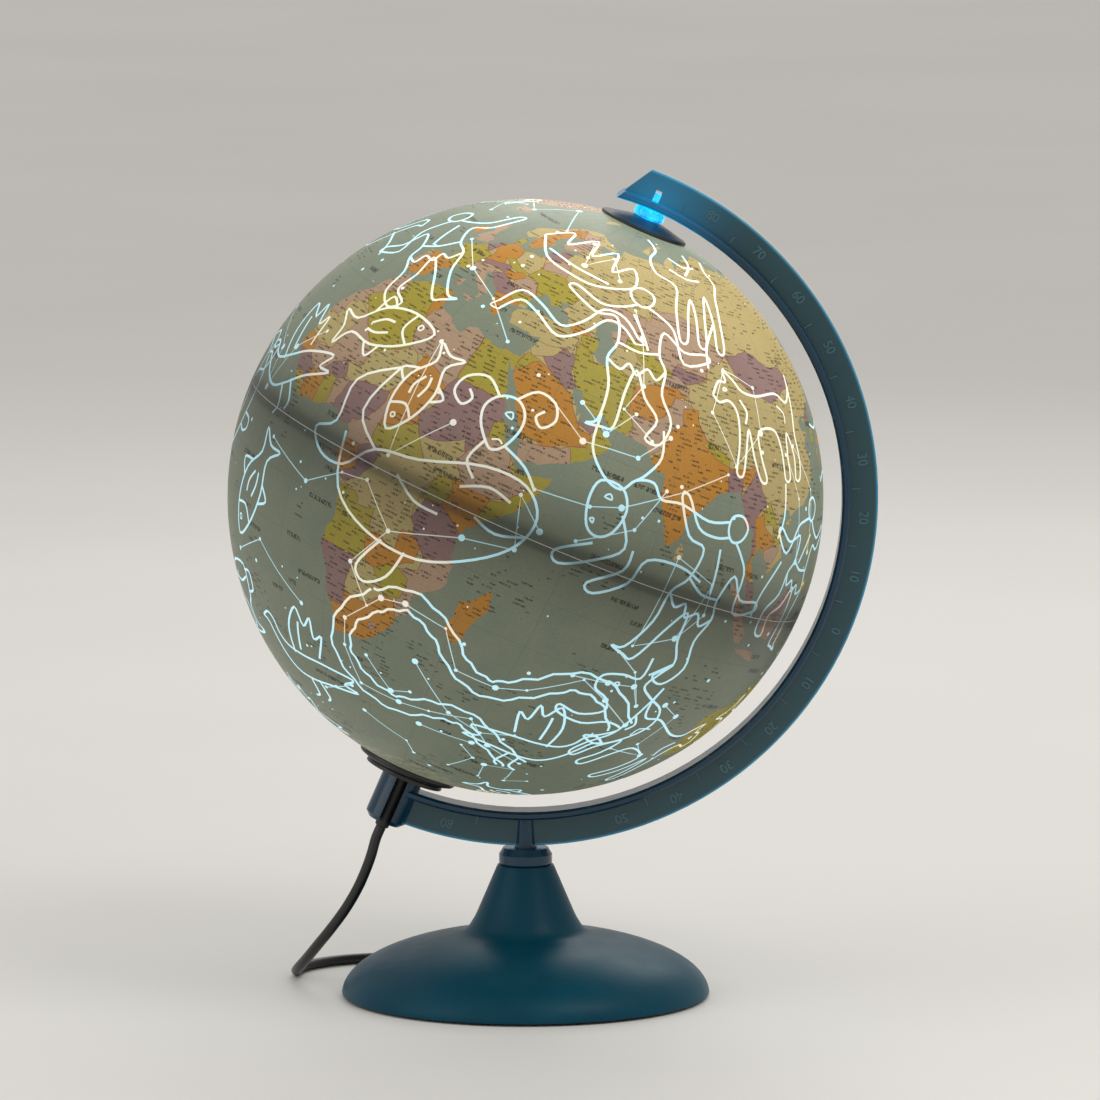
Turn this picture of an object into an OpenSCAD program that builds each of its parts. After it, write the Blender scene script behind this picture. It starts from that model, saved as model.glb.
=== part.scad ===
// Illuminated desktop globe on a fixed, tilted semi-meridian stand.
// Units are millimetres, +Z is up, the table is z = 0.
// The origin is the centre of the object's own footprint, so the base axis
// stands a little to the left of it and the meridian arm reaches as far to
// the right as the ball reaches to the left.

/* [Ball] */
// Outer diameter of the ball
ball_d = 250; // [240:1:255]
// Wall of the two ball halves
ball_wall = 2.5; // [2:0.1:3]
// Tilt of the ball's axis from vertical, in degrees
tilt = 23.5; // [20:0.5:26]
// Height of the ball's centre above the table
centre_h = 212; // [212:0.5:214]
// Width of the joint between the two halves, filled by the equator ring's rib
seam_w = 0.4; // [0.3:0.1:1]
// Width of the ring's flange inside the joint, which shades a band of the lit map
ring_w = 5.2; // [4:0.2:12]

/* [Meridian arm] */
// Inner radius of the arm's flange, from the ball's centre
arm_inner_r = 132.8; // [132.5:0.1:133.5]
// Radial thickness of the flange
flange_t = 3.4; // [2.8:0.1:4]
// Width of the flange across the arm
flange_w = 16; // [12:0.5:18]
// Outer radius of the thin web
arm_outer_r = 148; // [147:0.1:148.3]
// Thickness of the thin web
web_t = 3; // [2.4:0.1:4]
// Direction of the arm's upper tip at the flange, in degrees above the horizon
tip_inner_deg = 73; // [71:0.5:75]
// Direction of the arm's upper tip at the web's outer edge
tip_outer_deg = 68.8; // [67:0.2:70]

/* [Pivots] */
// Diameter of the black cap on the north pole
north_cap_d = 38; // [34:0.5:40]
// Diameter of the pivot button between cap and arm
button_d = 13.4; // [12.5:0.1:15]
// Diameter of the pivot pin
pin_d = 6; // [5:0.1:7]
// Diameter of the black bush flange at the south pole
south_flange_d = 43; // [40:0.5:46]
// Diameter of the lamp plate's hub, which the ball turns on
hub_d = 28; // [27:0.1:28]
// Radial clearance of the two running fits
run_fit = 0.05; // [0.02:0.01:0.09]
// Diameter of the split boss that carries the lamp
boss_d = 17.5; // [16.5:0.1:19]
// Width of the boss's slot
slot_w = 5; // [4.6:0.1:6]

/* [Base] */
// Diameter of the base
base_d = 155; // [150:1:158]
// Height of the dome, from the base's lower edge
dome_h = 27.5; // [27:0.5:28]
// Wall of the base shell
base_wall = 2.5; // [2:0.1:3]
// Height of the neck's top above the table
neck_h = 56; // [56:0.1:56.2]
// Radius of the neck at its top
neck_r = 11.8; // [11.6:0.1:12.2]
// Thickness of the rubber pads
pad_t = 1; // [0.8:0.1:1.5]

/* [Lamp] */
// Diameter of the ball-shaped bulb
bulb_d = 45; // [40:1:45]
// Diameter of the lamp stem
stem_d = 10; // [9.5:0.1:10]
// Diameter of the lamp holder
holder_d = 25; // [23:0.5:27]

/* [Mains lead] */
// Diameter of the round lead
cord_d = 4.4; // [4.2:0.1:4.6]
// Radius of the coil's outermost turn, at the lead's centre
coil_r = 36; // [35.5:0.1:36.5]

/* [Hidden] */
$fn = 96;

R = ball_d / 2;
Ri = R - ball_wall;
x0 = (R - arm_outer_r) / 2;         // base axis and ball centre
flange_r = arm_inner_r + flange_t;  // outer face of the flange
north_hole_r = 9;
south_hole_r = 17;
pin_r = pin_d / 2;
hub_r = hub_d / 2;
boss_top = 128.4;                   // along the axis, south of the centre
boss_end = 150;
exit_s = 152;                       // where the lead leaves its strain relief
base_r = base_d / 2;
cord_r = cord_d / 2;

// Height of a sphere of radius s at the distance r from its axis
function sph(s, r) = sqrt(s * s - r * r);

// Places children on the ball's tilted axis, local +Z towards the north pole
module on_axis() { translate([x0, 0, centre_h]) rotate([0, tilt, 0]) children(); }
// Places children on the base's upright axis
module on_base() { translate([x0, 0, 0]) children(); }

// ---------------------------------------------------------------- the ball
// One half of the ball: a spherical shell with a hole at its pole
module half_ball(hole_r) {
    difference() {
        sphere(r = R);
        sphere(r = Ri);
        translate([-R - 5, -R - 5, -2 * R]) cube([2 * R + 10, 2 * R + 10, 2 * R + seam_w / 2]);
        translate([0, 0, R / 2]) cylinder(r = hole_r, h = R);
    }
}

module north_hemisphere() { color("darkkhaki") on_axis() half_ball(north_hole_r); }

module south_hemisphere() { color("khaki") on_axis() mirror([0, 0, 1]) half_ball(south_hole_r); }

// Ring of T section: a thin rib in the joint and a flange inside both halves
module equator_ring() {
    color("darkslategray") on_axis() difference() {
        union() {
            translate([0, 0, -seam_w / 2]) cylinder(r = R - 0.1, h = seam_w);
            translate([0, 0, -ring_w / 2]) cylinder(r = Ri - 0.4, h = ring_w);
        }
        translate([0, 0, -ring_w]) cylinder(r = Ri - 3, h = 2 * ring_w);
    }
}

// Domed disc on the north pole with a hub through the ball's wall
module north_cap() {
    cr = north_cap_d / 2;
    color([0.06, 0.06, 0.07]) on_axis() rotate_extrude() polygon([
        [pin_r + run_fit, 127.9], [6.5, 127.7], [9.5, 127.2], [12.5, 126.4], [15.5, 125.6], [cr - 0.6, 125.1], [cr, 124.8],
        [cr, sph(R, cr) + 0.2], [north_hole_r - 0.1, sph(R, north_hole_r) + 0.2],
        [north_hole_r - 0.1, 116], [pin_r + run_fit, 116]
    ]);
}

// Ring pushed over the cap's hub inside the ball
module north_retainer() {
    color("dimgray") on_axis() difference() {
        translate([0, 0, 118]) cylinder(r = 15, h = 3.2);
        translate([0, 0, 117]) cylinder(r = north_hole_r, h = 6);
    }
}

// Bush in the south hole: a dished flange outside and a bore that runs on the lamp plate's hub
module south_bush() {
    fr = south_flange_d / 2;
    color([0.06, 0.06, 0.07]) on_axis() rotate_extrude() polygon([
        [hub_r + run_fit, -126.6], [18, -126.4], [fr - 0.5, -125.2], [fr, -124.7],
        [fr, -sph(R, fr) - 0.2], [south_hole_r - 0.1, -sph(R, south_hole_r) - 0.2],
        [south_hole_r - 0.1, -117], [hub_r + run_fit, -117]
    ]);
}

// Ring pushed over the bush inside the ball
module south_retainer() {
    color("dimgray") on_axis() difference() {
        translate([0, 0, -120.2]) cylinder(r = 22, h = 2.8);
        translate([0, 0, -122]) cylinder(r = south_hole_r, h = 6);
    }
}

// ----------------------------------------------------------- meridian stand
// A stretch of the arm between two directions, about the ball's centre
module arm_arc(a0, a1) {
    w = flange_w / 2;
    t = web_t / 2;
    rotate([90, 0, 0]) rotate([0, 0, a0]) rotate_extrude(angle = a1 - a0, $fn = 180) polygon([
        [arm_inner_r, -w + 1], [arm_inner_r + 1, -w], [flange_r - 0.8, -w], [flange_r, -w + 0.8],
        [flange_r, -t], [arm_outer_r - 0.5, -t], [arm_outer_r, -t + 0.5],
        [arm_outer_r, t - 0.5], [arm_outer_r - 0.5, t], [flange_r, t],
        [flange_r, w - 0.8], [flange_r - 0.8, w], [arm_inner_r + 1, w], [arm_inner_r, w - 1]
    ]);
}

// A direction in the meridian plane, at a distance from the ball's centre
function dir(a, r) = [r * cos(a), r * sin(a)];

// Everything beyond the slanted end of the arm
module tip_cut() {
    a = dir(tip_outer_deg, arm_outer_r + 0.5);
    b = dir(tip_inner_deg, arm_inner_r + 1);
    u = (a - b) / norm(a - b);
    rotate([90, 0, 0]) translate([0, 0, -20]) linear_extrude(height = 40)
        polygon([a + 12 * u, b - 12 * u, [-30, 100], [-30, 190], [a[0] + 12 * u[0], 190]]);
}

module meridian_arm() {
    color([0.0, 0.28, 0.38, 0.8]) union() {
        difference() {
            union() {
                translate([x0, 0, centre_h]) arm_arc(-90 - tilt, tip_inner_deg + 4);
                // split boss on the ball's axis
                on_axis() {
                    translate([0, 0, -boss_end + 2]) cylinder(d = boss_d, h = boss_end - boss_top - 2);
                    translate([0, 0, -boss_end]) cylinder(d1 = boss_d - 4, d2 = boss_d, h = 2);
                }
            }
            translate([x0, 0, centre_h]) tip_cut();
            on_axis() {
                // stud hole for the pivot button
                translate([0, 0, arm_inner_r - 2]) cylinder(r = 2.05, h = 10);
                // bore and slot of the split boss
                translate([0, 0, -boss_end - 1]) cylinder(r = 4.4, h = boss_end - boss_top + 2);
                translate([-slot_w / 2, -boss_d, -boss_end - 1]) cube([slot_w, boss_d, boss_end - boss_top + 2]);
            }
        }
        // fluted post, bevelled collar and the spigot that drops into the neck
        on_base() {
            translate([0, 0, 62.8]) cylinder(r1 = 4.4, r2 = 3.4, h = centre_h - flange_r - 62.3);
            for (a = [0 : 60 : 300]) rotate([0, 0, a]) translate([3.2, 0, 62.8])
                cylinder(r1 = 1.5, r2 = 1, h = centre_h - flange_r - 62.3, $fn = 24);
            difference() {
                union() {
                    translate([0, 0, neck_h + 0.8]) cylinder(r = 11.2, h = 3.7);
                    translate([0, 0, neck_h]) cylinder(r1 = 10.4, r2 = 11.2, h = 0.8);
                    translate([0, 0, neck_h + 4.5]) cylinder(r1 = 11.2, r2 = 9.5, h = 2.8);
                    translate([0, 0, 33]) cylinder(r = 7, h = neck_h - 32);
                }
                translate([0, 0, 32]) cylinder(r = 2.15, h = 20);
            }
        }
    }
}

// Button between cap and arm: stud up into the arm, running pin down into the cap
module pivot_button() {
    color([0.1, 0.65, 0.85, 0.8]) on_axis() {
        translate([0, 0, 117.5]) cylinder(r = pin_r, h = 12);
        translate([0, 0, 128.3]) cylinder(d1 = button_d - 1, d2 = button_d, h = 0.5);
        translate([0, 0, 128.8]) cylinder(d = button_d, h = 2.4);
        translate([0, 0, 131.2]) cylinder(d1 = button_d, d2 = button_d - 1.6, h = 0.5);
        translate([0, 0, 131.6]) cylinder(d = button_d - 2, h = arm_inner_r - 131.6);
        translate([0, 0, 132]) cylinder(r = 2, h = 8);
    }
}

// Fixed plate and hub in the south bush; it closes the ball and carries the stem
module lamp_plate() {
    color([0.08, 0.08, 0.09]) on_axis() difference() {
        union() {
            translate([0, 0, -boss_top]) cylinder(r = 17, h = 1.5);
            translate([0, 0, -boss_top + 1]) cylinder(r = hub_r, h = 10.4);
        }
        translate([0, 0, -boss_top - 1]) cylinder(d = stem_d + 0.1, h = 15);
        for (a = [45 : 90 : 315]) rotate([0, 0, a]) translate([9.6, 0, -boss_top + 3]) cylinder(r = 2.2, h = 12, $fn = 32);
    }
}

// Threaded tube from the plate up to the lamp holder
module lamp_stem() {
    color("silver") on_axis() difference() {
        translate([0, 0, -boss_top]) cylinder(d = stem_d, h = boss_top - 50);
        translate([0, 0, -boss_top - 1]) cylinder(d = stem_d - 2.8, h = boss_top);
    }
}

// Hexagon nut that clamps the stem to the plate
module stem_nut() {
    color("goldenrod") on_axis() difference() {
        translate([0, 0, -117]) cylinder(r = 8, h = 4, $fn = 6);
        translate([0, 0, -118]) cylinder(d = stem_d + 0.1, h = 6);
    }
}

// Small screw lamp holder, open towards the bulb
module lamp_holder() {
    color([0.12, 0.12, 0.12]) on_axis() difference() {
        union() {
            translate([0, 0, -56]) cylinder(d1 = holder_d - 6, d2 = holder_d, h = 5);
            translate([0, 0, -51]) cylinder(d = holder_d, h = 22);
            translate([0, 0, -29]) cylinder(d = holder_d - 4, h = 15);
        }
        translate([0, 0, -42]) cylinder(r = 8.2, h = 33);
        translate([0, 0, -57]) cylinder(d = stem_d + 0.1, h = 7);
        translate([0, 0, -51]) cylinder(r = 3.6, h = 8);
        for (a = [0, 180]) rotate([0, 0, a]) translate([5, 0, -45.5]) rotate([0, 90, 0]) cylinder(r = 1.85, h = 12, $fn = 32);
    }
}

// Threaded ring on the holder's mouth
module holder_skirt() {
    color([0.12, 0.12, 0.12]) on_axis() difference() {
        translate([0, 0, -28]) cylinder(d = holder_d + 4, h = 11);
        translate([0, 0, -30]) cylinder(d = holder_d - 3.8, h = 16);
    }
}

// The two terminal screws of the holder
module terminal_screws() {
    color("silver") on_axis() for (a = [0, 180]) rotate([0, 0, a]) translate([6, 0, -45.5]) rotate([0, 90, 0]) difference() {
        cylinder(r = 1.75, h = 5, $fn = 32);
        translate([-0.3, -2, 4.3]) cube([0.6, 4, 1]);
    }
}

// Brass screw shell inside the holder
module socket_shell() {
    color("gold") on_axis() difference() {
        translate([0, 0, -38.5]) cylinder(r = 7.9, h = 23);
        translate([0, 0, -39]) cylinder(r = 7.2, h = 25);
    }
}

// Sprung brass tongue under the bulb's tip
module centre_contact() {
    color("gold") on_axis() {
        translate([-2, -3.2, -40.4]) cube([4, 6.4, 0.7]);
        translate([-2, 2.5, -41.4]) cube([4, 0.7, 1.5]);
        translate([0, 0, -39.8]) cylinder(r = 1.6, h = 0.7, $fn = 32);
    }
}

// Screw cap of the bulb with its insulator and tip contact
module bulb_cap() {
    color("lightgray") on_axis() {
        translate([0, 0, -36.5]) cylinder(r = 6.5, h = 22.5);
        for (k = [0 : 4]) translate([0, 0, -35.6 + 3 * k]) {
            cylinder(r1 = 6.5, r2 = 6.95, h = 0.7);
            translate([0, 0, 0.7]) cylinder(r1 = 6.95, r2 = 6.5, h = 0.7);
        }
        translate([0, 0, -38]) cylinder(r1 = 3, r2 = 6, h = 1.6);
        translate([0, 0, -39]) cylinder(r = 2, h = 1.2, $fn = 32);
    }
}

// Frosted glass bulb: a round envelope drawn in to the cap
module bulb_glass() {
    br = bulb_d / 2;
    cz = 17;
    module envelope(o) {
        rotate_extrude() polygon(concat(
            [[0, cz + br - o]],
            [for (a = [84 : -6 : -48]) [(br - o) * cos(a), cz + (br - o) * sin(a)]],
            [[11.6 - o, -5.2], [9 - o, -8.6], [7.6 - o, -11.4], [7 - o, -14 + o], [0, -14 + o]]
        ));
    }
    color([1, 0.95, 0.85, 0.9]) on_axis() difference() {
        envelope(0);
        envelope(0.8);
    }
}

// The lead inside the stem, plate and boss
module lamp_lead() {
    color([0.05, 0.05, 0.05]) on_axis() translate([0, 0, -exit_s]) cylinder(r = cord_r, h = exit_s - 48, $fn = 32);
}

// Tapered rubber sleeve in the boss, round the lead
module strain_relief() {
    color([0.04, 0.04, 0.04]) on_axis() difference() {
        union() {
            translate([0, 0, -boss_top - 3]) cylinder(r = 4.2, h = 3, $fn = 48);
            translate([0, 0, -exit_s]) cylinder(r1 = 2.9, r2 = 3.9, h = exit_s - boss_top - 3, $fn = 48);
        }
        translate([0, 0, -exit_s - 1]) cylinder(r = cord_r, h = 30, $fn = 32);
    }
}

// ------------------------------------------------------------------ the base
function dome_pt(a, r, h) = [r * cos(a), pad_t + h * sin(a)];

// Moulded shell: an elliptical dome that runs up into a conical neck
module base_shell() {
    outer = concat(
        [[0, pad_t]],
        [for (a = [0 : 4 : 68]) dome_pt(a, base_r, dome_h)],
        [[26.6, 27.3], [25, 28.4], [23.8, 29.8], [22.6, 31.6], [21.4, 33.6]],
        [[neck_r, neck_h], [0, neck_h]]
    );
    inner = concat(
        [[0, pad_t - 1], [base_r - base_wall, pad_t - 1]],
        [for (a = [0 : 4 : 64]) dome_pt(a, base_r - base_wall, dome_h - base_wall)],
        [[21, 28.5], [18.5, 33.6], [11.2, 50.5], [10, 50.5], [10, 27.5], [0, 27.5]]
    );
    color([0.05, 0.25, 0.32]) on_base() {
        difference() {
            rotate_extrude() polygon(outer);
            rotate_extrude() polygon(inner);
            translate([0, 0, 31]) cylinder(r = 7.05, h = 30);
            translate([0, 0, 26]) cylinder(r = 2.7, h = 8, $fn = 48);
        }
        // posts for the cover's screws
        for (a = [30 : 120 : 270]) rotate([0, 0, a]) translate([60, 0, pad_t + 2.4]) difference() {
            cylinder(r = 4, h = 14, $fn = 48);
            translate([0, 0, -1]) cylinder(r = 1.35, h = 11, $fn = 32);
        }
    }
}

// Steel weight in the base
module base_ballast() {
    color("gray") on_base() difference() {
        translate([0, 0, pad_t + 2.5]) cylinder(r = 50, h = 6);
        translate([0, 0, pad_t]) cylinder(r = 11, h = 12);
    }
}

// Flat cover that closes the base from below
module base_cover() {
    color([0.1, 0.1, 0.1]) on_base() difference() {
        translate([0, 0, pad_t]) cylinder(r = base_r - base_wall - 0.8, h = 2.4);
        for (a = [30 : 120 : 270]) rotate([0, 0, a]) translate([60, 0, 0]) {
            cylinder(r = 1.7, h = 6, $fn = 32);
            cylinder(r = 3.4, h = pad_t + 1.2, $fn = 32);
        }
        translate([0, 0, 0]) cylinder(r = 8, h = 6);
    }
}

// Three self-tapping screws in the cover
module cover_screws() {
    color("silver") on_base() for (a = [30 : 120 : 270]) rotate([0, 0, a]) translate([60, 0, 0]) difference() {
        union() {
            translate([0, 0, pad_t + 0.2]) cylinder(r = 3, h = 1, $fn = 32);
            translate([0, 0, pad_t + 1]) cylinder(r = 1.3, h = 9, $fn = 32);
        }
        for (b = [0, 90]) rotate([0, 0, b]) translate([-1.8, -0.35, pad_t]) cube([3.6, 0.7, 0.7]);
    }
}

// Four stick-on rubber pads
module rubber_pads() {
    color([0.15, 0.15, 0.15]) on_base() for (a = [0 : 90 : 270]) rotate([0, 0, a]) translate([64, 0, 0])
        cylinder(r = 7, h = pad_t, $fn = 48);
}

// Screw that pulls the arm's spigot down into the neck
module arm_screw() {
    color("silver") on_base() difference() {
        union() {
            translate([0, 0, 22.9]) cylinder(r1 = 3.6, r2 = 4.6, h = 1, $fn = 48);
            translate([0, 0, 23.9]) cylinder(r = 4.6, h = 2.4, $fn = 48);
            translate([0, 0, 25]) cylinder(r = 2.1, h = 21, $fn = 48);
        }
        for (b = [0, 90]) rotate([0, 0, b]) translate([-2.6, -0.5, 22]) cube([5.2, 1, 2.4]);
    }
}

// Washer under that screw's head
module arm_washer() {
    color("silver") on_base() difference() {
        translate([0, 0, 26.3]) cylinder(r = 7.5, h = 1.2, $fn = 64);
        translate([0, 0, 25]) cylinder(r = 2.6, h = 4, $fn = 48);
    }
}

// ------------------------------------------------------------ the mains lead
// Centre of the coil behind the base
coil_c = [x0, base_r + coil_r + cord_r + 1];
lie = cord_r + 0.05;                // height of the lead's centre on the table

// Points the lead follows: out of the boss, down to the table, round the back of the base
function south(s) = [x0 - s * sin(tilt), 0, centre_h - s * cos(tilt)];
run_pts = [
    south(exit_s), south(exit_s + 6), [-76.5, 0, 60], [-79, 0.5, 53], [-82.5, 2, 45], [-87.5, 5, 36],
    [-93.5, 10, 27], [-99.5, 17, 18.5], [-104.5, 26, 11], [-108, 36, 5.5], [-109, 47, lie],
    [-106, 58, lie], [-98, 68, lie], [-86, 75.5, lie], [-70, 80, lie], [-53, 82, lie],
    [-36, 82.5, lie], [-18, 79.5, lie]
];
// Points from the coil's top layer into the plug
tail_pts = [
    [-32.5, 128.5, 6.45], [-36.5, 121.5, 6.6], [-40.5, 114.5, 6.7], [-44, 107, 6.9], [-46, 98, 7],
    [-42.5, 87.3, 7.2], [-33.3, 81.2, 7.7], [-22.8, 81.7, 9], [-14.5, 88, 11.3], [-11.4, 98, 13.8],
    [-11.5, 105, 14.9], [-11.5, 111, 15.3]
];

// Catmull-Rom curve through a list of points
function cr(a, b, c, d, t) = 0.5 * (2 * b + (c - a) * t + (2 * a - 5 * b + 4 * c - d) * t * t + (3 * b - a - 3 * c + d) * t * t * t);
function pick(p, i) = p[max(0, min(len(p) - 1, i))];
function route(p, n) = concat(
    [for (i = [0 : len(p) - 2], k = [0 : n - 1]) cr(pick(p, i - 1), p[i], p[i + 1], pick(p, i + 2), k / n)],
    [p[len(p) - 1]]
);
function unit(v) = v / norm(v);
// Ring of points across the route at one station
function ring(p, i, r, n) =
    let (t = unit(pick(p, i + 1) - pick(p, i - 1)),
         s = unit(cross(t, abs(t[2]) > 0.9 ? [0, 1, 0] : [0, 0, 1])),
         u = cross(s, t))
    [for (k = [0 : n - 1]) p[i] + r * (cos(360 * k / n) * s + sin(360 * k / n) * u)];

// A plain tube swept along a route
module tube(p, r, n = 8) {
    m = len(p);
    polyhedron(
        points = [for (i = [0 : m - 1]) each ring(p, i, r, n)],
        faces = concat(
            [[for (k = [n - 1 : -1 : 0]) k]],
            [for (i = [0 : m - 2], k = [0 : n - 1]) [i * n + k, i * n + (k + 1) % n, (i + 1) * n + (k + 1) % n, (i + 1) * n + k]],
            [[for (k = [0 : n - 1]) (m - 1) * n + k]]
        )
    );
}

module power_cord() {
    color([0.05, 0.05, 0.05]) {
        tube(route(run_pts, 2), cord_r);
        tube(route(tail_pts, 2), cord_r);
    }
}

// Outer shape of the flat two-layer coil
module cord_coil() {
    color([0.05, 0.05, 0.05]) translate([coil_c[0], coil_c[1], 0]) rotate_extrude() polygon([
        [16.2, 0.05], [coil_r + cord_r, 0.05], [coil_r + cord_r, cord_d], [27.5, cord_d + 0.2], [27.5, 8.5], [16.2, 8.5]
    ]);
}

// Flat two-pin plug that lies on the coil, pins pointing away from the base
module plug_body() {
    color([0.06, 0.06, 0.06]) translate([x0, 0, 15.3]) {
        translate([0, 111, 0]) rotate([-90, 0, 0]) cylinder(r1 = 3.4, r2 = 5, h = 10.5, $fn = 32);
        translate([0, 121, 0]) rotate([90, 0, 0]) mirror([0, 0, 1]) linear_extrude(height = 25)
            polygon([[-17.6, 0], [-13.2, 6.6], [13.2, 6.6], [17.6, 0], [13.2, -6.6], [-13.2, -6.6]]);
    }
}

// Its two round pins
module plug_pins() {
    color("silver") translate([x0, 146, 15.3]) for (s = [-1, 1]) translate([9.3 * s, 0, 0]) rotate([-90, 0, 0]) {
        cylinder(r = 2, h = 17.5, $fn = 32);
        translate([0, 0, 17.5]) cylinder(r1 = 2, r2 = 1, h = 1.5, $fn = 32);
    }
}

north_hemisphere();
south_hemisphere();
equator_ring();
north_cap();
north_retainer();
south_bush();
south_retainer();
meridian_arm();
pivot_button();
lamp_plate();
lamp_stem();
stem_nut();
lamp_holder();
holder_skirt();
terminal_screws();
socket_shell();
centre_contact();
bulb_cap();
bulb_glass();
lamp_lead();
strain_relief();
base_shell();
base_ballast();
base_cover();
cover_screws();
rubber_pads();
arm_screw();
arm_washer();
power_cord();
cord_coil();
plug_body();
plug_pins();
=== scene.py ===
"""Looks of the desktop globe on stand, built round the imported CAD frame. Metres, +Z up."""
import math
import random

import bmesh
import bpy
import numpy as np
from mathutils import Matrix, Vector
from mathutils.geometry import delaunay_2d_cdt


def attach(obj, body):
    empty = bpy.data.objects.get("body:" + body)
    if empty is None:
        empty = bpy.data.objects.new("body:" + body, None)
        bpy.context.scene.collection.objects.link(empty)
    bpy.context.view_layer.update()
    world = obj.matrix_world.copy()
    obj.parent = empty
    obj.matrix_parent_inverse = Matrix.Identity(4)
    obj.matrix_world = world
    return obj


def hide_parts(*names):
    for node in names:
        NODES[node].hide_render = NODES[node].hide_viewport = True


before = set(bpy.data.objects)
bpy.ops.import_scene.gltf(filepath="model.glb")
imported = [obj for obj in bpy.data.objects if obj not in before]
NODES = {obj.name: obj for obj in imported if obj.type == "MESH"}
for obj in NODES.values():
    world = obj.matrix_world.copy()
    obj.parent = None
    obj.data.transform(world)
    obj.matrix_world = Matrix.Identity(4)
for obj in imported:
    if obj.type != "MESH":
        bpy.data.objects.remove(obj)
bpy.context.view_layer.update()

MM = 0.001
TILT = math.radians(23.5)
X0 = -11.5                       # base axis and ball centre, mm
ZC = 212.0                       # height of the ball's centre, mm
R = 125.0                        # radius of the ball, mm
CENTRE = Vector((X0, 0, ZC)) * MM
AXIS = Vector((math.sin(TILT), 0, math.cos(TILT)))
# Local axis frame: +Z towards the north pole, same as on_axis() in the CAD
AX = Matrix.Translation(CENTRE) @ Matrix.Rotation(TILT, 4, "Y")
STAND, BALL = "stand", "ball"
scene = bpy.context.scene


# ------------------------------------------------------------------ helpers
def link(o):
    scene.collection.objects.link(o)
    return o


def mesh_obj(name, verts, faces, smooth=True, scale=MM):
    me = bpy.data.meshes.new(name)
    me.from_pydata([tuple(c * scale for c in v) for v in verts], [], faces)
    me.update()
    if smooth:
        me.polygons.foreach_set("use_smooth", [True] * len(me.polygons))
    return link(bpy.data.objects.new(name, me))


def sharp_by_angle(o, deg=35):
    """Smooth shading with edges sharper than an angle kept crisp."""
    me = o.data
    bm = bmesh.new()
    bm.from_mesh(me)
    lim = math.radians(deg)
    for e in bm.edges:
        e.smooth = len(e.link_faces) == 2 and e.calc_face_angle(0) < lim
    for f in bm.faces:
        f.smooth = True
    bm.to_mesh(me)
    bm.free()


def lathe(name, profile, seg=128, matrix=None, deg=32, closed=True):
    """Revolves (r, z) points in mm about Z; a closed profile makes a closed solid."""
    verts, rings = [], []
    for r, z in profile:
        if r < 1e-6:
            rings.append([len(verts)])
            verts.append((0, 0, z))
        else:
            rings.append(list(range(len(verts), len(verts) + seg)))
            verts += [(r * math.cos(2 * math.pi * k / seg), r * math.sin(2 * math.pi * k / seg), z) for k in range(seg)]
    faces = []
    pairs = list(zip(rings, rings[1:] + ([rings[0]] if closed else [])))
    for a, b in pairs:
        if len(a) == 1 and len(b) == 1:
            continue
        for k in range(seg):
            j = (k + 1) % seg
            if len(a) == 1:
                faces.append((a[0], b[j], b[k]))
            elif len(b) == 1:
                faces.append((a[k], a[j], b[0]))
            else:
                faces.append((a[k], a[j], b[j], b[k]))
    o = mesh_obj(name, verts, faces)
    bm = bmesh.new()
    bm.from_mesh(o.data)
    bmesh.ops.recalc_face_normals(bm, faces=bm.faces)
    if matrix is not None:
        bmesh.ops.transform(bm, matrix=matrix, verts=bm.verts)
    bm.to_mesh(o.data)
    bm.free()
    sharp_by_angle(o, deg)
    return o


def round_profile(pts, radii, n=5):
    """Rounds the corners of a closed (r, z) profile; radii is one number or one per corner."""
    m = len(pts)
    if not isinstance(radii, (list, tuple)):
        radii = [radii] * m
    out = []
    for i in range(m):
        p, a, b = Vector(pts[i]), Vector(pts[i - 1]), Vector(pts[(i + 1) % m])
        u, v = (a - p), (b - p)
        if u.length < 1e-9 or v.length < 1e-9 or radii[i] <= 0:
            out.append(tuple(p))
            continue
        ang = u.angle(v)
        t = min(radii[i] / math.tan(ang / 2), 0.45 * u.length, 0.45 * v.length)
        p0, p1 = p + u.normalized() * t, p + v.normalized() * t
        for k in range(n + 1):
            s = k / n
            q = (1 - s) ** 2 * p0 + 2 * s * (1 - s) * p + s * s * p1
            out.append((q.x, q.y))
    return out


def catmull(pts, n):
    pts = [Vector(p) for p in pts]
    g = lambda i: pts[max(0, min(len(pts) - 1, i))]
    out = []
    for i in range(len(pts) - 1):
        a, b, c, d = g(i - 1), g(i), g(i + 1), g(i + 2)
        for k in range(n):
            t = k / n
            out.append(0.5 * (2 * b + (c - a) * t + (2 * a - 5 * b + 4 * c - d) * t * t + (3 * b - a - 3 * c + d) * t ** 3))
    out.append(pts[-1])
    return out


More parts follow.
